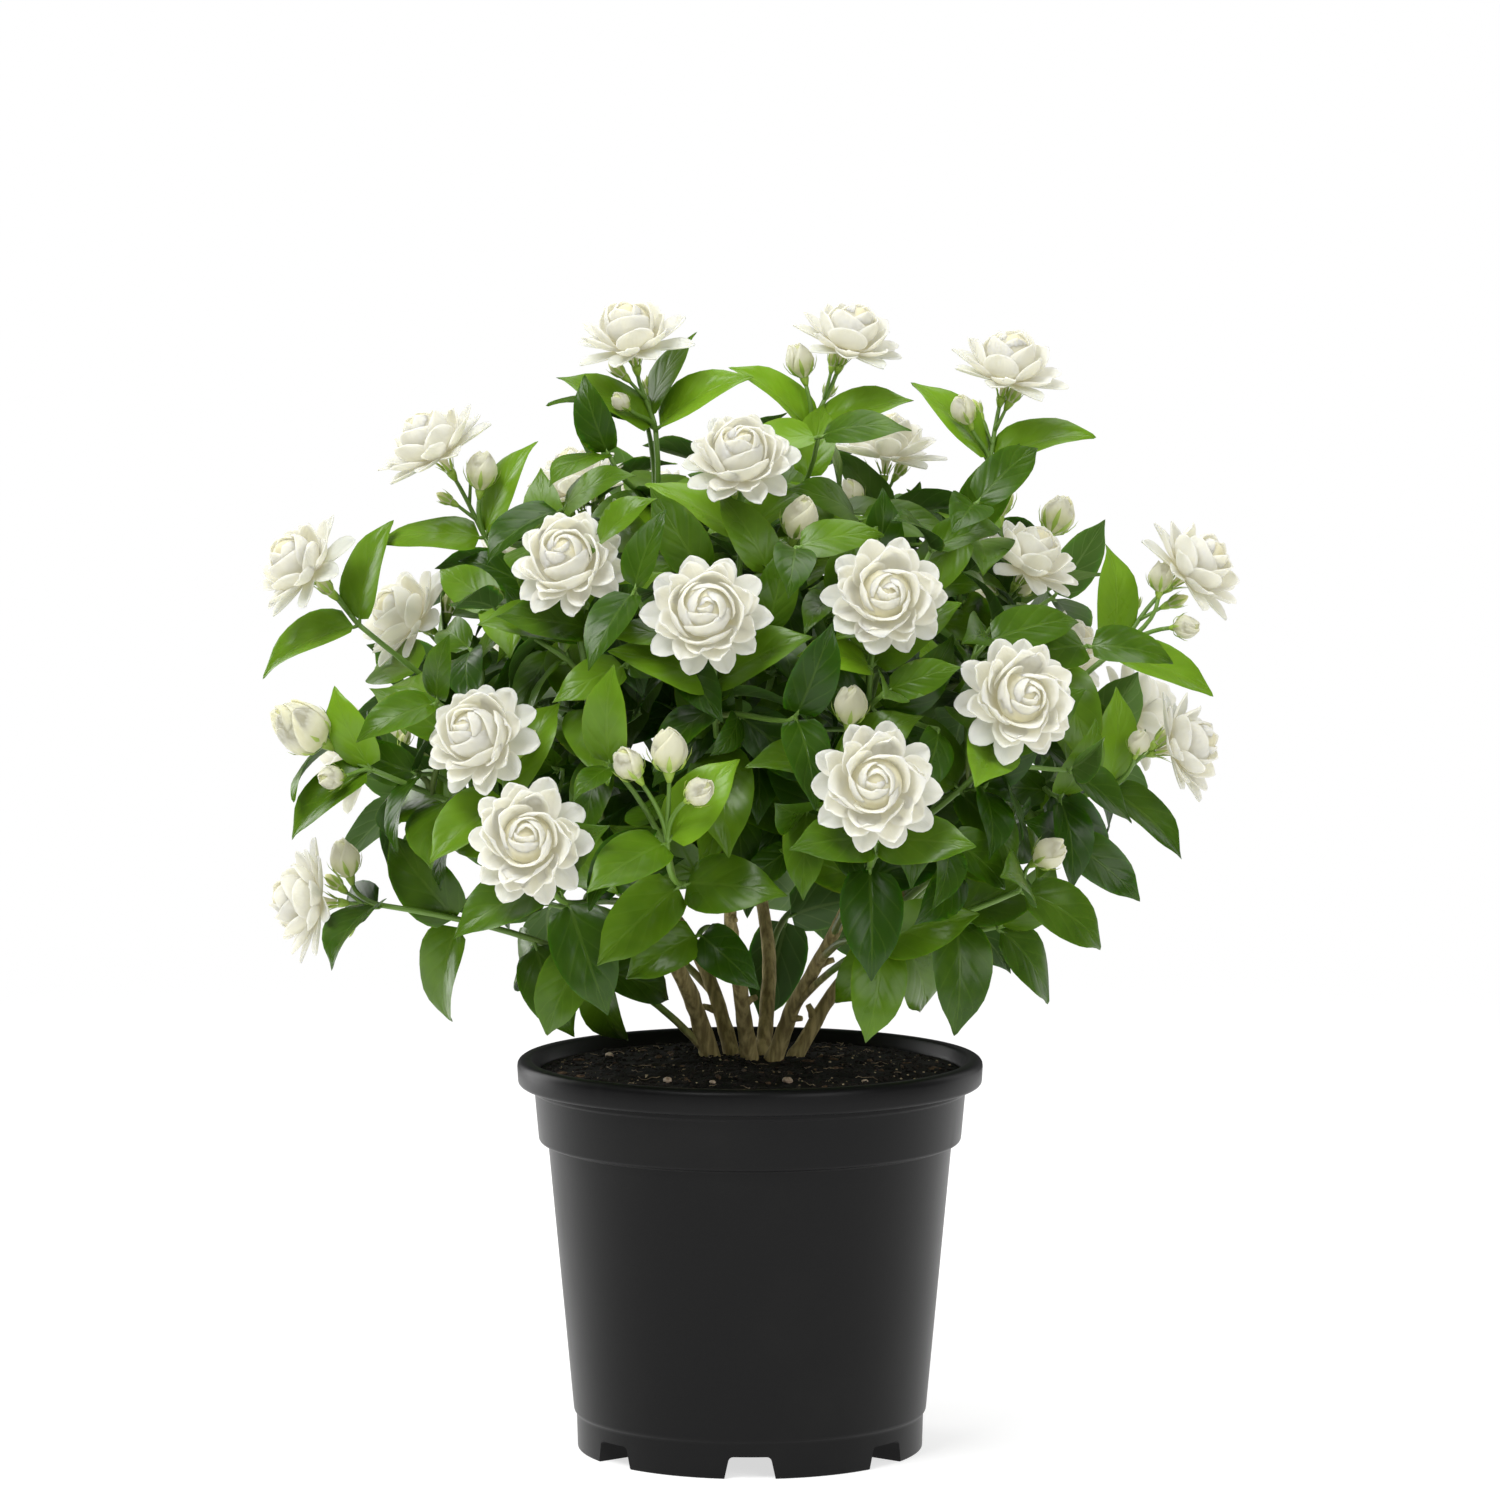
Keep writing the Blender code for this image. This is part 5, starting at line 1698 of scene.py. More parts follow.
HALF_OPEN_BUD = Flower(
    spreads=(),
    wraps=(
        Wrap(4, (1.4, -0.6), (9.8, 2.6), (3.6, 12.4), 0.0, 1.3, 0.6, 0.5, 0.5, 0.0, 0.4),
        Wrap(3, (1.2, 0.2), (9.6, 6.0), (1.6, 14.2), 0.4, 1.25, 0.5, 0.1, 0.6, 0.1, 0.5),
        Wrap(2, (1.0, 2.0), (8.0, 8.4), (0.5, 15.0), 0.3, 1.2, 0.4, 0.0, 0.6, 0.3, 0.6),
    ),
    core=((-0.4, 1.2), (1, 3.2), (4, 4.9), (8, 4.9), (11, 3.6), (13.4, 1.4)),
    thickness=0.6,
)


FORMS = {
    Heart.FURLED: FURLED_BUD,
    Heart.HALF_OPEN: HALF_OPEN_BUD,
    Heart.CUPPED: CUPPED,
    Heart.GLOBE: GLOBE,
    Heart.ROSETTE: ROSETTE,
}


@dataclass
class Crowd:
    """What stands in the bush, as marks in cells, so that inner leaves find room.

    Marks keep `clearance` from one another. None lies below `lowest`, in the bush's open foot,
    inside a radius and below a height, or before a flower that is seen.
    """

    clearance: float = 4.8 * MM
    open_foot: Pair = (126 * MM, 238 * MM)
    lowest: float = 228 * MM
    view_depth: float = 70 * MM
    mark_shares: tuple = (0.3, 0.45, 0.6, 0.75, 0.88, 1.0)
    mark_sides: tuple = (-0.9, -0.45, 0, 0.45, 0.9)
    cells: dict[tuple, list[Vector]] = field(default_factory=dict)
    views: list[tuple[Vector, Vector, float]] = field(default_factory=list)

    def cell(self, place: Vector) -> tuple[int, int, int]:
        """Give the cell that a place lies in."""
        return tuple(floor(value / self.clearance) for value in place)

    def add(self, marks: Sequence[Vector]) -> None:
        """Add marks."""
        for mark in marks:
            self.cells.setdefault(self.cell(mark), []).append(mark)

    def marks_of(self, blade: Blade) -> list[Vector]:
        """Give the marks of a leaf, past its petiole."""
        return [
            blade.point(share, blade.half_width(share) * side, 0)
            for share, side in product(self.mark_shares, self.mark_sides)
        ]

    def is_near_another(self, mark: Vector) -> bool:
        """Tell whether a mark lies too close to one that stands there."""
        x, y, z = self.cell(mark)
        return any(
            (mark - other).length < self.clearance
            for dx, dy, dz in product((-1, 0, 1), repeat=3)
            for other in self.cells.get((x + dx, y + dy, z + dz), ())
        )

    def hides_a_flower(self, mark: Vector) -> bool:
        """Tell whether a mark lies before a flower, on the side that it is seen from."""
        for middle, facing, radius in self.views:
            offset = mark - middle
            forward = offset.dot(facing)
            if 0 < forward < self.view_depth and (offset - facing * forward).length < radius:
                return True
        return False

    def has_room(self, marks: Sequence[Vector]) -> bool:
        """Tell whether marks lie clear of all the others, of the foot and of the flowers.

        Args:
            marks: the marks of one leaf.

        Returns:
            Whether all of them do.
        """
        radius, height = self.open_foot
        for mark in marks:
            in_foot = mark.z < height and hypot(mark.x, mark.y) < radius
            if in_foot or mark.z < self.lowest:
                return False
            if self.is_near_another(mark) or self.hides_a_flower(mark):
                return False
        return True


@dataclass(frozen=True)
class Seat:
    """Where a calyx sits: its stalk's end, the way that it faces and its size.

    `reach` is how far out its sepals' tips stand, and `closed` tells that they hug a bud.
    """

    base: Vector
    facing: Vector
    size: float
    reach: float
    closed: bool


@dataclass(frozen=True)
class Calyx:
    """The green cup that holds a flower, and its narrow sepals, in millimetres.

    The cup is the height and the radius of each ring. Sepals start at the radius and height
    of `root`. What a closed calyx and an open one have each is given in that order: how far
    out the tips stand for their reach, how much higher every other tip stands, and half a
    sepal's width.
    """

    sepals: int = 8
    cup: tuple = ((-0.6, 0.9), (1.0, 1.5), (2.6, 2.0), (4.2, 2.1))
    root: tuple = (1.7, 3.2)
    tip_height: float = 10.8
    reaches: tuple = ((1.06, 1.06, 1.06), (1, 1.3, 1.6))
    higher: tuple = (1.8, 1.2)
    half_widths: tuple = (1.1, 0.66)
    tip_half_width: float = 0.14
    thickness: float = 0.6

    def sepal(self, seat: Seat, number: int) -> Sheet:
        """Give the form of one sepal.

        Args:
            seat: where the calyx sits.
            number: the sepal's number.

        Returns:
            The sheet's point for a share, a side and a face.
        """
        outward = beside(seat.facing, 2 * pi * number / self.sepals)
        sideways = seat.facing.cross(outward)
        state = 0 if seat.closed else 1
        tip = seat.reach / MM * self.reaches[state][number % 3]
        tall = self.tip_height + self.higher[state] * (number % 2)
        root, foot = self.root

        def place(share: float, across: float, face: float) -> Vector:
            """Give the sepal's point."""
            rise = sin(share * pi / 2) ** 0.7 if seat.closed else share**1.5
            out = root + (tip - root) * rise
            height = foot + (tall - foot) * share
            half = self.half_widths[state] * (1 - share) ** 0.6 + self.tip_half_width
            lift = face * self.thickness / 2 * (1 - 0.6 * share)
            point = outward * (out + lift) + seat.facing * height + sideways * half * across
            return seat.base + point * seat.size * MM

        return place

    def add(self, bm: BMesh, seat: Seat) -> None:
        """Add the cup and its sepals."""
        straight_limb(bm, seat.base, seat.facing, self.cup, seat.size, 8)
        for number in range(self.sepals):
            thin_sheet(bm, self.sepal(seat, number), (0, 0.35, 0.7, 1), sides=4)


@dataclass(frozen=True)
class Standing:
    """A flower where it stands: its node, its shoot, its place, its stalk's end and size."""

    node: str
    shoot: str
    matrix: Matrix
    base: Vector
    facing: Vector
    size: float
    sepal_reach: float
    heart: Heart


@dataclass
class Bush:
    """The six leafy stems with their shoots, leaves, stalks, calyxes, blooms and buds.

    Leaves look the younger and brighter, the higher the value that they start with; inner leaves
    start low, which is painted shade. An outer pair loses some of it for each pair above it,
    for age and painted shade.
    """

    habit: LeafHabit = field(default_factory=LeafHabit)
    inner_habit: LeafHabit = field(
        default_factory=lambda: LeafHabit(face_to_light=0.45, aspect=0.46)
    )
    hole_depth: float = 16 * MM
    stem_head: float = 2.1 * MM
    shoot_foot: float = 1.7 * MM
    crown: float = 1.1 * MM
    pedicel: float = 0.85 * MM
    shoot_curve: float = 0.36
    stalk_curve: float = 0.35
    bloom_middle: float = 7 * MM
    bloom_foot: float = 14 * MM
    bud_middle: float = 8.5 * MM
    bud_foot: float = 3.4 * MM
    bloom_sepal_reach: float = 4.6 * MM
    bud_sepal_reach: float = 7.3 * MM
    half_open_reach: float = 1.2
    half_open_size: float = 0.76
    calyx: Calyx = Calyx()
    side_bud: tuple = ((2.6, 1.2), (4, 2.2), (7, 2.9), (10, 2.7), (12.4, 1.7), (14, 0.4))
    side_bud_reach: float = 3.6 * MM
    side_stalk: tuple = (0.8 * MM, 0.75 * MM, 0.7 * MM, 0.7 * MM)
    petiole_radii: tuple = (1.0 * MM, 0.75 * MM, 0.5 * MM)
    twig: Pair = (1.4 * MM, 0.9 * MM)
    # Painted shade: inner leaves start darker than outer ones, and each lower pair darker.
    outer_youth_and_shade: Pair = (0.38, 0.08)
    inner_youth_and_shade: float = 0.04
    stem_swell: float = 1.1
    stem_flare: float = 0.18
    flare_height: float = 6 * MM
    head_age: float = 0.62
    stub_shares: tuple = (0.3, 0.52, 0.74)
    stub: tuple = ((0, 2.6), (3, 2.0), (4.5, 1.5), (7.5, 1.2))
    leaf_shares: tuple = (
        0.05, 0.10, 0.17, 0.26, 0.36, 0.47, 0.58, 0.68, 0.77, 0.85, 0.92, 0.97, 1
    )
    leaf_fold: float = 0.44
    leaf_recurve: float = 0.16
    leaf_thickness: float = 0.5 * MM
    find_within: float = 0.3 * MM
    inner_twigs: int = 290
    inner_middle: tuple = (0, 4, 312)
    inner_reach: tuple = (174, 148, 112)
    inner_shares: tuple = (0.35, 1.0)
    twig_lengths: tuple = (22, 85)
    twig_fall: float = 12 * MM
    leafy_share: float = 0.92
    bloom_bulk: tuple = (21, 12)
    bud_bulk: tuple = (5, 9)
    seen_from_front: float = 66 * MM
    faces_out: float = 0.68
    # Leaves darken towards the lower of these heights, for age and painted shade.
    age_and_shade_heights: tuple = (215 * MM, 400 * MM)

    def __post_init__(self) -> None:
        """Work out the routes and where the flowers stand."""
        self.plain_stems = {stem.name: self.stem_route(stem, 2) for stem in STEMS}
        self.stems = {stem.name: self.stem_route(stem, 8) for stem in STEMS}
        self.plain_shoots = {name: self.shoot_route(shoot, 4) for name, shoot in SHOOTS.items()}
        self.shoots = {name: self.shoot_route(shoot, 16) for name, shoot in SHOOTS.items()}
        self.blooms = self.flowers(
            "bloom", BLOOMS, self.bloom_middle, self.bloom_foot, self.bloom_sepal_reach
        )
        self.buds = self.flowers("bud", BUDS, self.bud_middle, self.bud_foot, self.bud_sepal_reach)

    def stem_route(self, stem: Stem, steps: int) -> Route:
        """Give a stem's middle line, with its foot in the soil."""
        points = [mm(*point) for point in stem.route]
        foot = points[0] - UP * self.hole_depth
        return Route((foot, *Route.through(points, steps).points))

    def shoot_route(self, shoot: Shoot, count: int) -> Route:
        """Give a shoot's middle line, from inside its stem to its crown.

        Args:
            shoot: the shoot.
            count: the number of points.

        Returns:
            The line.
        """
        start, direction = self.plain_stems[shoot.stem].at(shoot.start)
        crown = mm(*shoot.crown)
        reach = (crown - start).length * self.shoot_curve
        leaving = (direction + (crown - start).normalized()).normalized()
        handles = start + leaving * reach, crown - shoot.direction * reach
        return Route.bent(start, handles, crown, count)

    def stalk_route(self, crown: Vector, lean: Vector, flower: Standing) -> Route:
        """Give a stalk's route, from a crown to a flower's cup."""
        reach = (flower.base - crown).length * self.stalk_curve
        handles = crown + lean * reach, flower.base - flower.facing * reach
        return Route.bent(crown, handles, flower.base, 8)

    def flowers(
        self, kind: str, heads: Sequence[Head], middle: float, foot: float, reach: float
    ) -> list[Standing]:
        """Work out where one kind of flower stands.

        Args:
            kind: the start of the nodes' names.
            heads: the flowers' middles and the ways they face.
            middle: the height of a flower's middle above its own origin.
            foot: how far below its origin its stalk ends.
            reach: how far its sepals reach out.

        Returns:
            The flowers.
        """
        standing = []
        for index, head in enumerate(heads, 1):
            facing = Vector(head.facing).normalized()
            origin = mm(*head.centre) - facing * middle * head.size
            turn = facing.to_track_quat("Z", "Y").to_matrix().to_4x4()
            matrix = Matrix.Translation(origin) @ turn @ Matrix.Scale(head.size, 4)
            base = origin - facing * foot * head.size
            node, heart = f"{kind}_{index:02d}", head.heart or self.usual_heart(kind, facing)
            flower = Standing(node, head.shoot, matrix, base, facing, head.size, reach, heart)
            standing.append(flower)
        return standing

    def usual_heart(self, kind: str, facing: Vector) -> Heart:
        """Give how far a flower has opened, if its head doesn't say."""
        if kind == "bud":
            return Heart.FURLED
        return Heart.GLOBE if abs(facing.y) > self.faces_out else Heart.CUPPED

    def leaves_of(self, stem: Stem) -> Iterator[tuple[str, int, Blade]]:
        """Find the leaves that a stem's node has.

        The node's corners tell which turn, tilt and size each leaf took.

        Args:
            stem: the stem.

        Yields:
            The shoot's name, the pair's number and the blade.
        """
        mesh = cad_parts[f"leafy_stem_{stem.name}"].data
        tree = KDTree(len(mesh.vertices))
        for index, vert in enumerate(mesh.vertices):
            tree.insert(vert.co, index)
        tree.balance()
        trials = self.habit.trials()
        for name in stem.shoots:
            shoot, route = SHOOTS[name], self.plain_shoots[name]
            for pair, hand in product(range(self.habit.pairs_on(shoot, route)), range(2)):
                blades = (self.habit.blade(shoot, route, pair, hand, trial) for trial in trials)
                tips = ((blade, tree.find(blade.point(1, 0, 0))[2]) for blade in blades)
                found = next((blade for blade, miss in tips if miss < self.find_within), None)
                if found:
                    yield name, pair, found
                else:
                    LOG.warning("no leaf found on %s, pair %d, side %d", name, pair, hand)

    def place_inner_twigs(self, draw: Random) -> Iterator[tuple[Shoot, Route]]:
        """Place short twigs inside the bush, each from the nearest shoot below it.

        Args:
            draw: the seeded draw.

        Yields:
            The twig and its route.
        """
        carriers = [
            (SHOOTS[name].stem, point)
            for name, route in self.shoots.items()
            for point in route.points[1:-3]
        ]
        shortest, longest = (length * MM for length in self.twig_lengths)
        for number in range(self.inner_twigs):
            height = 1 - 2 * (number + 0.5) / self.inner_twigs
            outward = compass(number * pi * (3 - sqrt(5))) * sqrt(1 - height**2)
            outward.z = height
            reach = Vector(self.inner_reach) * draw.uniform(*self.inner_shares)
            end = (Vector(self.inner_middle) + outward * reach) * MM
            fitting = [
                (stem, point)
                for stem, point in carriers
                if shortest < (end - point).length < longest and point.z < end.z + self.twig_fall
            ]
            if not fitting:
                continue
            stem, start = min(fitting, key=lambda carrier: (carrier[1] - end).length)
            lean = (outward + UP * draw.uniform(0.0, 0.7)).normalized()
            reach = (end - start).length * 0.35
            route = Route.bent(start, (start + UP * reach * 0.7, end - lean * reach), end, 7)
            leaf, droop = draw.uniform(38, 48), draw.uniform(20, 50)
            roll = draw.uniform(0, 90)
            yield Shoot(stem, 0, tuple(end / MM), tuple(lean), 2, roll, leaf, droop), route

    def grow_inner(self, crowd: Crowd) -> dict[str, list[tuple[bool, Route, list[Blade]]]]:
        """Grow the inner twigs, with each leaf at the first trial that has room.

        Args:
            crowd: what is there already.

        Returns:
            For each stem, whether it is a twig, its route and the blades on it.
        """
        grown: dict[str, list[tuple[bool, Route, list[Blade]]]] = {stem.name: [] for stem in STEMS}
        trials = self.habit.trials()
        sites = []
        for name, route in self.shoots.items():
            first = self.habit.pairs_on(SHOOTS[name], self.plain_shoots[name])
            sites.append((False, SHOOTS[name], route, (first, first + 1)))
        for twig, route in self.place_inner_twigs(Random(7)):
            sites.append((True, twig, route, (0, 1)))
        for is_twig, shoot, route, pairs in sites:
            if is_twig and not crowd.has_room([route.points[-1]]):
                continue
            leafy = route.length * self.leafy_share
            pairs = [pair for pair in pairs if pair * self.habit.pair_spacing <= leafy]
            blades = []
            for pair, hand in product(pairs, range(2)):
                for trial in trials:
                    blade = self.inner_habit.blade(shoot, route, pair, hand, trial)
                    marks = crowd.marks_of(blade)
                    if crowd.has_room(marks):
                        crowd.add(marks)
                        blades.append(blade)
                        break
            if blades:
                grown[shoot.stem].append((is_twig, route, blades))
        return grown

    def leaf(self, bm: BMesh, blade: Blade, tint: float, draw: Random, sides: int) -> None:
        """Add one leaf.

        Args:
            bm: the mesh being built.
            blade: its middle line.
            tint: how young and bright it is, from 0 to 1; its low end is partly painted shade.
            draw: the seeded draw.
            sides: the number of vertices in each of its rings.
        """
        wave = draw.uniform(0.2, 0.8) * MM
        phase = draw.uniform(0, 2 * pi)
        twist = draw.uniform(-0.3, 0.3)
        fold = self.leaf_fold * draw.uniform(0.4, 1.35)
        curl = draw.uniform(-1.0, 3.5) * MM
        sway = draw.uniform(-1.6, 1.6) * MM

        def place(share: float, side: float, face: float) -> Vector:
            """Give the leaf's point."""
            half = blade.half_width(share)
            across = half * side
            lift = abs(side) * half * fold - side**2 * half * self.leaf_recurve
            lift += wave * sin(phase + 9 * share + 1.5 * side) * side**2
            lift += across * twist * (share - 0.3)
            lift -= curl * max(share - 0.6, 0) ** 2 / 0.16
            rib = 1.5 if face < 0 and side == 0 else 1
            lift += face * rib * self.leaf_thickness / 2
            return blade.point(share, across + sway * share**2, lift)

        tints = bm.faces.layers.float["tint"]
        for face in thin_sheet(bm, place, self.leaf_shares, sides, under=1):
            face[tints] = tint

    def tint(self, blade: Blade, youth_and_shade: float, draw: Random) -> float:
        """Draw how young and bright a leaf looks, from 0 to 1: the more so, the higher it grows, so
        low leaves are darker for age and painted shade.
        """
        low, high = self.age_and_shade_heights
        height = max(0, min(1, (blade.point(0.5, 0, 0).z - low) / (high - low)))
        return max(0, min(1, draw.gauss(youth_and_shade + 0.42 * height, 0.17)))

    def petiole(self, bm: BMesh, blade: Blade, route: Route) -> None:
        """Add the short stalk that joins a leaf to its shoot.

        Args:
            bm: the mesh being built.
            blade: the leaf's middle line.
            route: the shoot's middle line.
        """
        start = route.nearest(blade.root)
        end = blade.point(self.leaf_shares[1], 0, -0.2 * MM)
        middle = start.lerp(end, 0.5) - UP * 0.4 * MM
        limb(bm, Route((start, middle, end)), self.petiole_radii, 5, [0.1, 0.05, 0])

    def side_buds(self, wood: BMesh, calyxes: BMesh, stalk: Route, draw: Random) -> None:
        """Add the small buds that wait beside a bloom, each on a short stalk of its own.

        Args:
            wood: the mesh of stems, shoots and stalks.
            calyxes: the mesh of calyxes, whose second finish is the buds'.
            stalk: the bloom's stalk.
            draw: the seeded draw.
        """
        around = draw.uniform(0, 2 * pi)
        for number in range(2):
            start, along = stalk.at(0.3 + 0.25 * number)
            outward = beside(along, around + number * draw.uniform(2.4, 3.8))
            facing = (along + outward * draw.uniform(0.5, 0.8)).normalized()
            size = draw.uniform(0.7, 1.0)
            base = start + facing * draw.uniform(6, 11) * MM + along * 2 * MM
            route = Route.bent(start, (start.lerp(base, 0.4), base), base, 4)
            limb(wood, route, self.side_stalk, 6, [0] * 4)
            self.calyx.add(calyxes, Seat(base, facing, size, self.side_bud_reach, True))
            before = len(calyxes.faces)
            straight_limb(calyxes, base, facing, self.side_bud, size, 8)
            calyxes.faces.ensure_lookup_table()
            for face in calyxes.faces[before:]:
                face.material_index = 1

    def wood(self, bm: BMesh, stem: Stem) -> None:
        """Add a woody stem, flared where it leaves the soil, with stubs of old twigs.

        Args:
            bm: the mesh being built.
            stem: the stem.
        """
        route = self.stems[stem.name]
        count = len(route.points)
        foot = stem.radius * self.stem_swell * MM
        radii = [foot] + tapered(foot, self.stem_head, count - 1)
        for index in range(1, count):
            above = route.points[index].z - route.points[1].z
            radii[index] *= 1 + self.stem_flare * exp(-above / self.flare_height)
        ages = [1] + tapered(1, self.head_age, count - 1)
        limb(bm, route, radii, 14, ages, ridges=0.16)
        draw = Random(len(stem.name))
        for share in self.stub_shares:
            start, along = route.at(share + draw.uniform(-0.06, 0.06))
            outward = (beside(along, draw.uniform(0, 2 * pi)) + along * 0.6).normalized()
            straight_limb(bm, start, outward, self.stub, 1, 7, 1, 0.15)

    def shoot(self, bm: BMesh, name: str) -> None:
        """Add a shoot and the stalks of its flowers.

        Args:
            bm: the mesh being built.
            name: the shoot's name.
        """
        route, lean = self.shoots[name], SHOOTS[name].direction
        count = len(route.points)
        foot_age = 0.75 if route.points[0].z < 200 * MM else 0.55
        ages = [foot_age * (1 - share) ** 1.3 for share in tapered(0, 1, count)]
        limb(bm, route, tapered(self.shoot_foot, self.crown, count), 8, ages, ridges=0.07)
        crown = route.points[-1]
        flowers = [flower for flower in self.blooms + self.buds if flower.shoot == name]
        if not flowers:
            tip = Route((crown, crown + lean * 2 * MM, crown + lean * 4 * MM))
            limb(bm, tip, [self.crown, 0.9 * MM, 0.4 * MM], 6, [0, 0, 0])
        for flower in flowers:
            stalk = self.stalk_route(crown - lean * self.crown, lean, flower)
            radii = tapered(self.crown, self.pedicel, len(stalk.points))
            limb(bm, stalk, radii, 7, [0] * len(stalk.points))

    def seat(self, flower: Standing) -> Seat:
        """Give the seat of a flower's calyx. A half-open bud has a smaller and wider one.

        Args:
            flower: the bloom or bud.

        Returns:
            The seat.
        """
        half_open = flower.heart == Heart.HALF_OPEN
        size = flower.size * (self.half_open_size if half_open else 1)
        reach = flower.sepal_reach * (self.half_open_reach if half_open else 1)
        closed = half_open or flower.heart == Heart.FURLED
        return Seat(flower.base, flower.facing, size, reach, closed)

    def build(self) -> None:
        """Build the stems with what they carry, and then the blooms and buds."""
        bark = Bark().material()
        leaf_finishes = LEAF_TOP.material(), LEAF_UNDERSIDE.material()
        calyx_finish = CalyxSkin().material()
        bud_finish = BUD_PETAL.material()
        draw = Random(41)
        outer = {stem.name: list(self.leaves_of(stem)) for stem in STEMS}
        inner = self.grow_inner(self.crowd(outer))
        for stem in STEMS:
            wood, leaves, calyxes = begin(), begin(), begin()
            self.wood(wood, stem)
            for name in stem.shoots:
                self.shoot(wood, name)
            for name, pair, blade in outer[stem.name]:
                # Lower pairs get a lower tint, for age and painted shade.
                youth_and_shade = self.outer_youth_and_shade[0] - self.outer_youth_and_shade[1] * pair
                self.leaf(leaves, blade, self.tint(blade, youth_and_shade, draw), draw, 12)
                self.petiole(wood, blade, self.shoots[name])
            for is_twig, route, blades in inner[stem.name]:
                if is_twig:
                    count = len(route.points)
                    radii, ages = tapered(*self.twig, count), tapered(0.35, 0, count)
                    limb(wood, route, radii, 6, ages, ridges=0.05)
                for blade in blades:
                    # Inner leaves get a low tint: painted shade.
                    self.leaf(leaves, blade, self.tint(blade, self.inner_youth_and_shade, draw), draw, 8)
                    self.petiole(wood, blade, route)
            flowers = [flower for flower in self.blooms + self.buds if flower.shoot in stem.shoots]
            for flower in flowers:
                self.calyx.add(calyxes, self.seat(flower))
            for flower in flowers:
                if flower in self.blooms:
                    crown = self.shoots[flower.shoot].points[-1]
                    stalk = self.stalk_route(crown, SHOOTS[flower.shoot].direction, flower)
                    self.side_buds(wood, calyxes, stalk, draw)
            nodes = [f"leafy_stem_{stem.name}"]
            show(wood, f"wood_{stem.name}", Slot.GREEN, nodes, bark)
            show(leaves, f"leaves_{stem.name}", Slot.GREEN, nodes, *leaf_finishes)
            show(calyxes, f"calyxes_{stem.name}", Slot.GREEN, nodes, calyx_finish, bud_finish)
        self.open_flowers(self.blooms, Slot.PETAL, BLOOM_PETAL.material())
        self.open_flowers(self.buds, Slot.BUD, bud_finish)

    def crowd(self, outer: dict[str, list[tuple[str, int, Blade]]]) -> Crowd:
        """Mark the places of the flowers, the shoots and the outer leaves.

        Args:
            outer: each stem's outer leaves.

        Returns:
            The crowd.
        """
        crowd = Crowd()
        for _, _, blade in chain.from_iterable(outer.values()):
            crowd.add(crowd.marks_of(blade))
        for route in self.shoots.values():
            crowd.add(route.points[4:])
        for flower in self.blooms + self.buds:
            radius, height = self.bloom_bulk if flower in self.blooms else self.bud_bulk
            for step in range(12):
                for share, above in ((1, 4), (0.5, height), (0, height + 6)):
                    mark = compass(pi * step / 6) * share * radius + UP * above
                    crowd.add([flower.matrix @ (mark * MM)])
            middle = flower.matrix @ (UP * height * MM)
            radius *= flower.size * 1.1 * MM
            crowd.views.append((middle, flower.facing, radius))
            if middle.y < self.seen_from_front:
                crowd.views.append((middle, -BACK, radius))
        return crowd

    def open_flowers(
        self, standing: Sequence[Standing], slot: Slot, finish: Material
    ) -> None:
        """Show each flower as a piece of its own.

        Args:
            standing: where the flowers stand.
            slot: the record's slot.
            finish: their material.
        """
        for seed, flower in enumerate(standing):
            bm = begin()
            FORMS[flower.heart].add(bm, seed)
            bmesh.ops.transform(bm, verts=bm.verts, matrix=flower.matrix)
            show(bm, f"{flower.node}_petals", slot, [flower.node], finish)


@dataclass(frozen=True)
class SoftLight:
    """A large area light that looks at the plant, its power in watts."""

    name: str
    place: tuple[float, float, float]
    size: Pair
    power: float


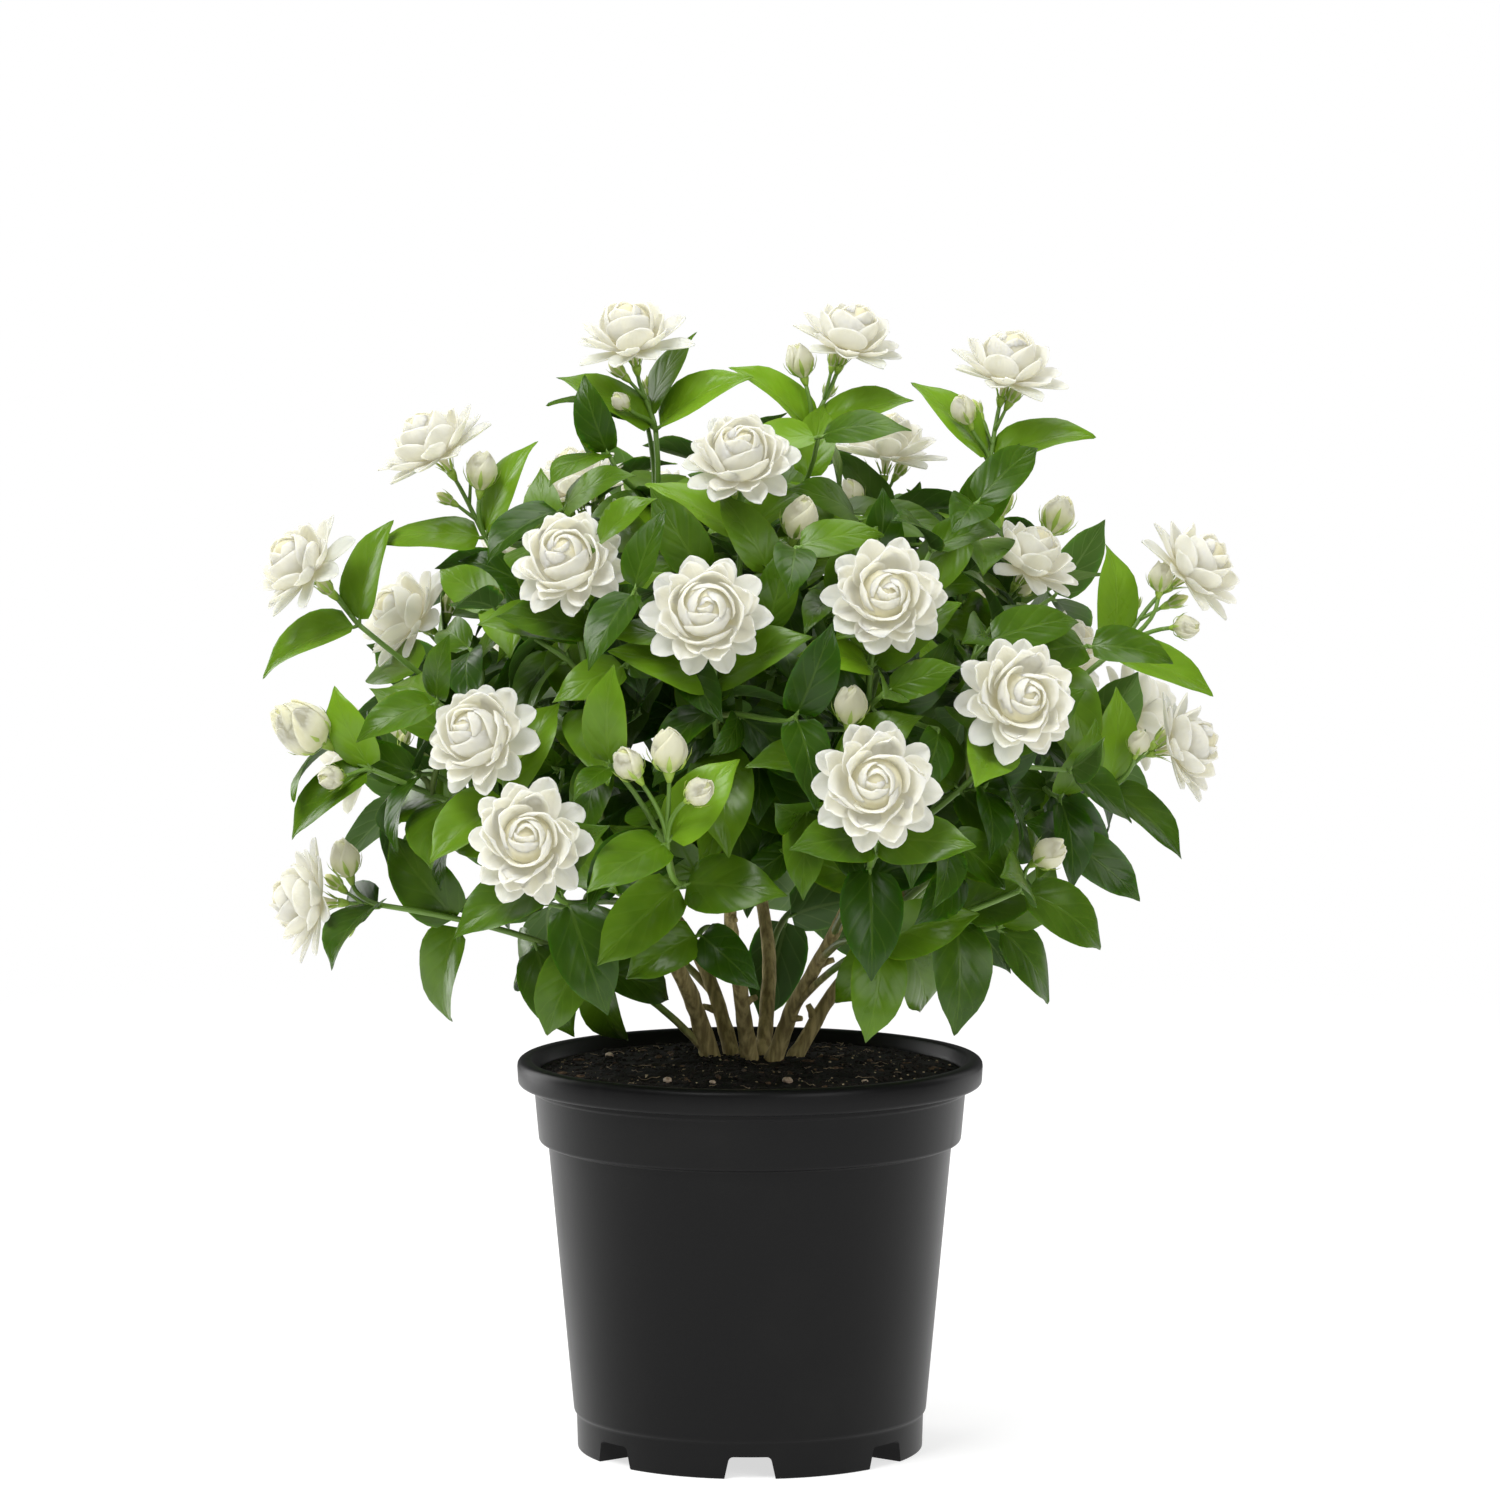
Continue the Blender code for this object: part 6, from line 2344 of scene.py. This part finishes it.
@dataclass
class Studio:
    """The camera at the photograph's viewing angle, the pale floor and the soft light."""

    camera_place: tuple = (0, -2.58, 0.525)
    looking_down: float = 5.3
    lens: float = 153.3
    sensor: float = 36
    aim: tuple = (0, 0, 0.25)
    background: float = 1.0
    ambient: float = 0.35
    mirrored: float = 0.12
    floor_radius: float = 3
    lights: tuple = (
        SoftLight("key", (-0.95, -1.25, 2.15), (1.2, 1.2), 50),
        SoftLight("top", (0.2, 0.5, 2.2), (1.4, 1.4), 17),
        SoftLight("fill", (1.3, -1.9, 1.0), (1.4, 1.4), 18),
        SoftLight("left_edge", (-1.5, 1.2, 0.6), (1.0, 1.8), 19),
        SoftLight("right_edge", (1.5, 1.2, 0.6), (1.0, 1.8), 5),
    )

    def camera(self) -> None:
        """Set the camera."""
        data = bpy.data.cameras.new("camera")
        data.lens = self.lens
        data.sensor_width = self.sensor
        camera = put("camera", data)
        camera.location = self.camera_place
        camera.rotation_euler = (radians(90 - self.looking_down), 0, 0)
        bpy.context.scene.camera = camera

    def world(self) -> None:
        """Light the scene softly from all round, before a white background."""
        world = bpy.data.worlds.new("studio")
        bpy.context.scene.world = world
        bpy.context.scene.view_settings.view_transform = "Standard"
        nodes = Nodes(world)
        ray = nodes.node("ShaderNodeLightPath", {}, {}).outputs
        strengths = {0: ray["Is Glossy Ray"], 2: self.ambient, 3: self.mirrored}
        felt = nodes.node("ShaderNodeMix", {}, strengths)
        strengths = {0: ray["Is Camera Ray"], 2: felt.outputs[0], 3: self.background}
        seen = nodes.node("ShaderNodeMix", {}, strengths)
        inputs = {"Color": (1, 1, 1), "Strength": seen.outputs[0]}
        white = nodes.node("ShaderNodeBackground", {}, inputs)
        nodes.node("ShaderNodeOutputWorld", {}, {"Surface": white.outputs[0]})

    def floor(self) -> None:
        """Lay the floor."""
        bm = bmesh.new()
        bmesh.ops.create_circle(bm, cap_ends=True, segments=96, radius=self.floor_radius)
        floor = put("floor", mesh_of(bm, "floor"))
        floor.data.materials.append(FloorPaint().material())

    def light(self, light: SoftLight) -> None:
        """Hang one light.

        Args:
            light: the light.
        """
        data = bpy.data.lights.new(light.name, "AREA")
        data.shape = "RECTANGLE"
        data.size, data.size_y = light.size
        data.energy = light.power
        lamp = put(light.name, data)
        lamp.location = light.place
        aim = Vector(self.aim) - Vector(light.place)
        lamp.rotation_euler = aim.to_track_quat("-Z", "Y").to_euler()

    def build(self) -> None:
        """Set up the studio."""
        self.camera()
        self.world()
        self.floor()
        for light in self.lights:
            self.light(light)


def main() -> None:
    """Build the studio and the plant, in order."""
    logging.basicConfig(level=logging.INFO, format="%(name)s %(message)s")
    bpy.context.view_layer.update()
    Studio().build()
    for part in (NurseryPot(), SoilFill(), Bush()):
        part.build()
        LOG.info("%s is built", type(part).__name__)


if __name__ == "__main__":
    main()
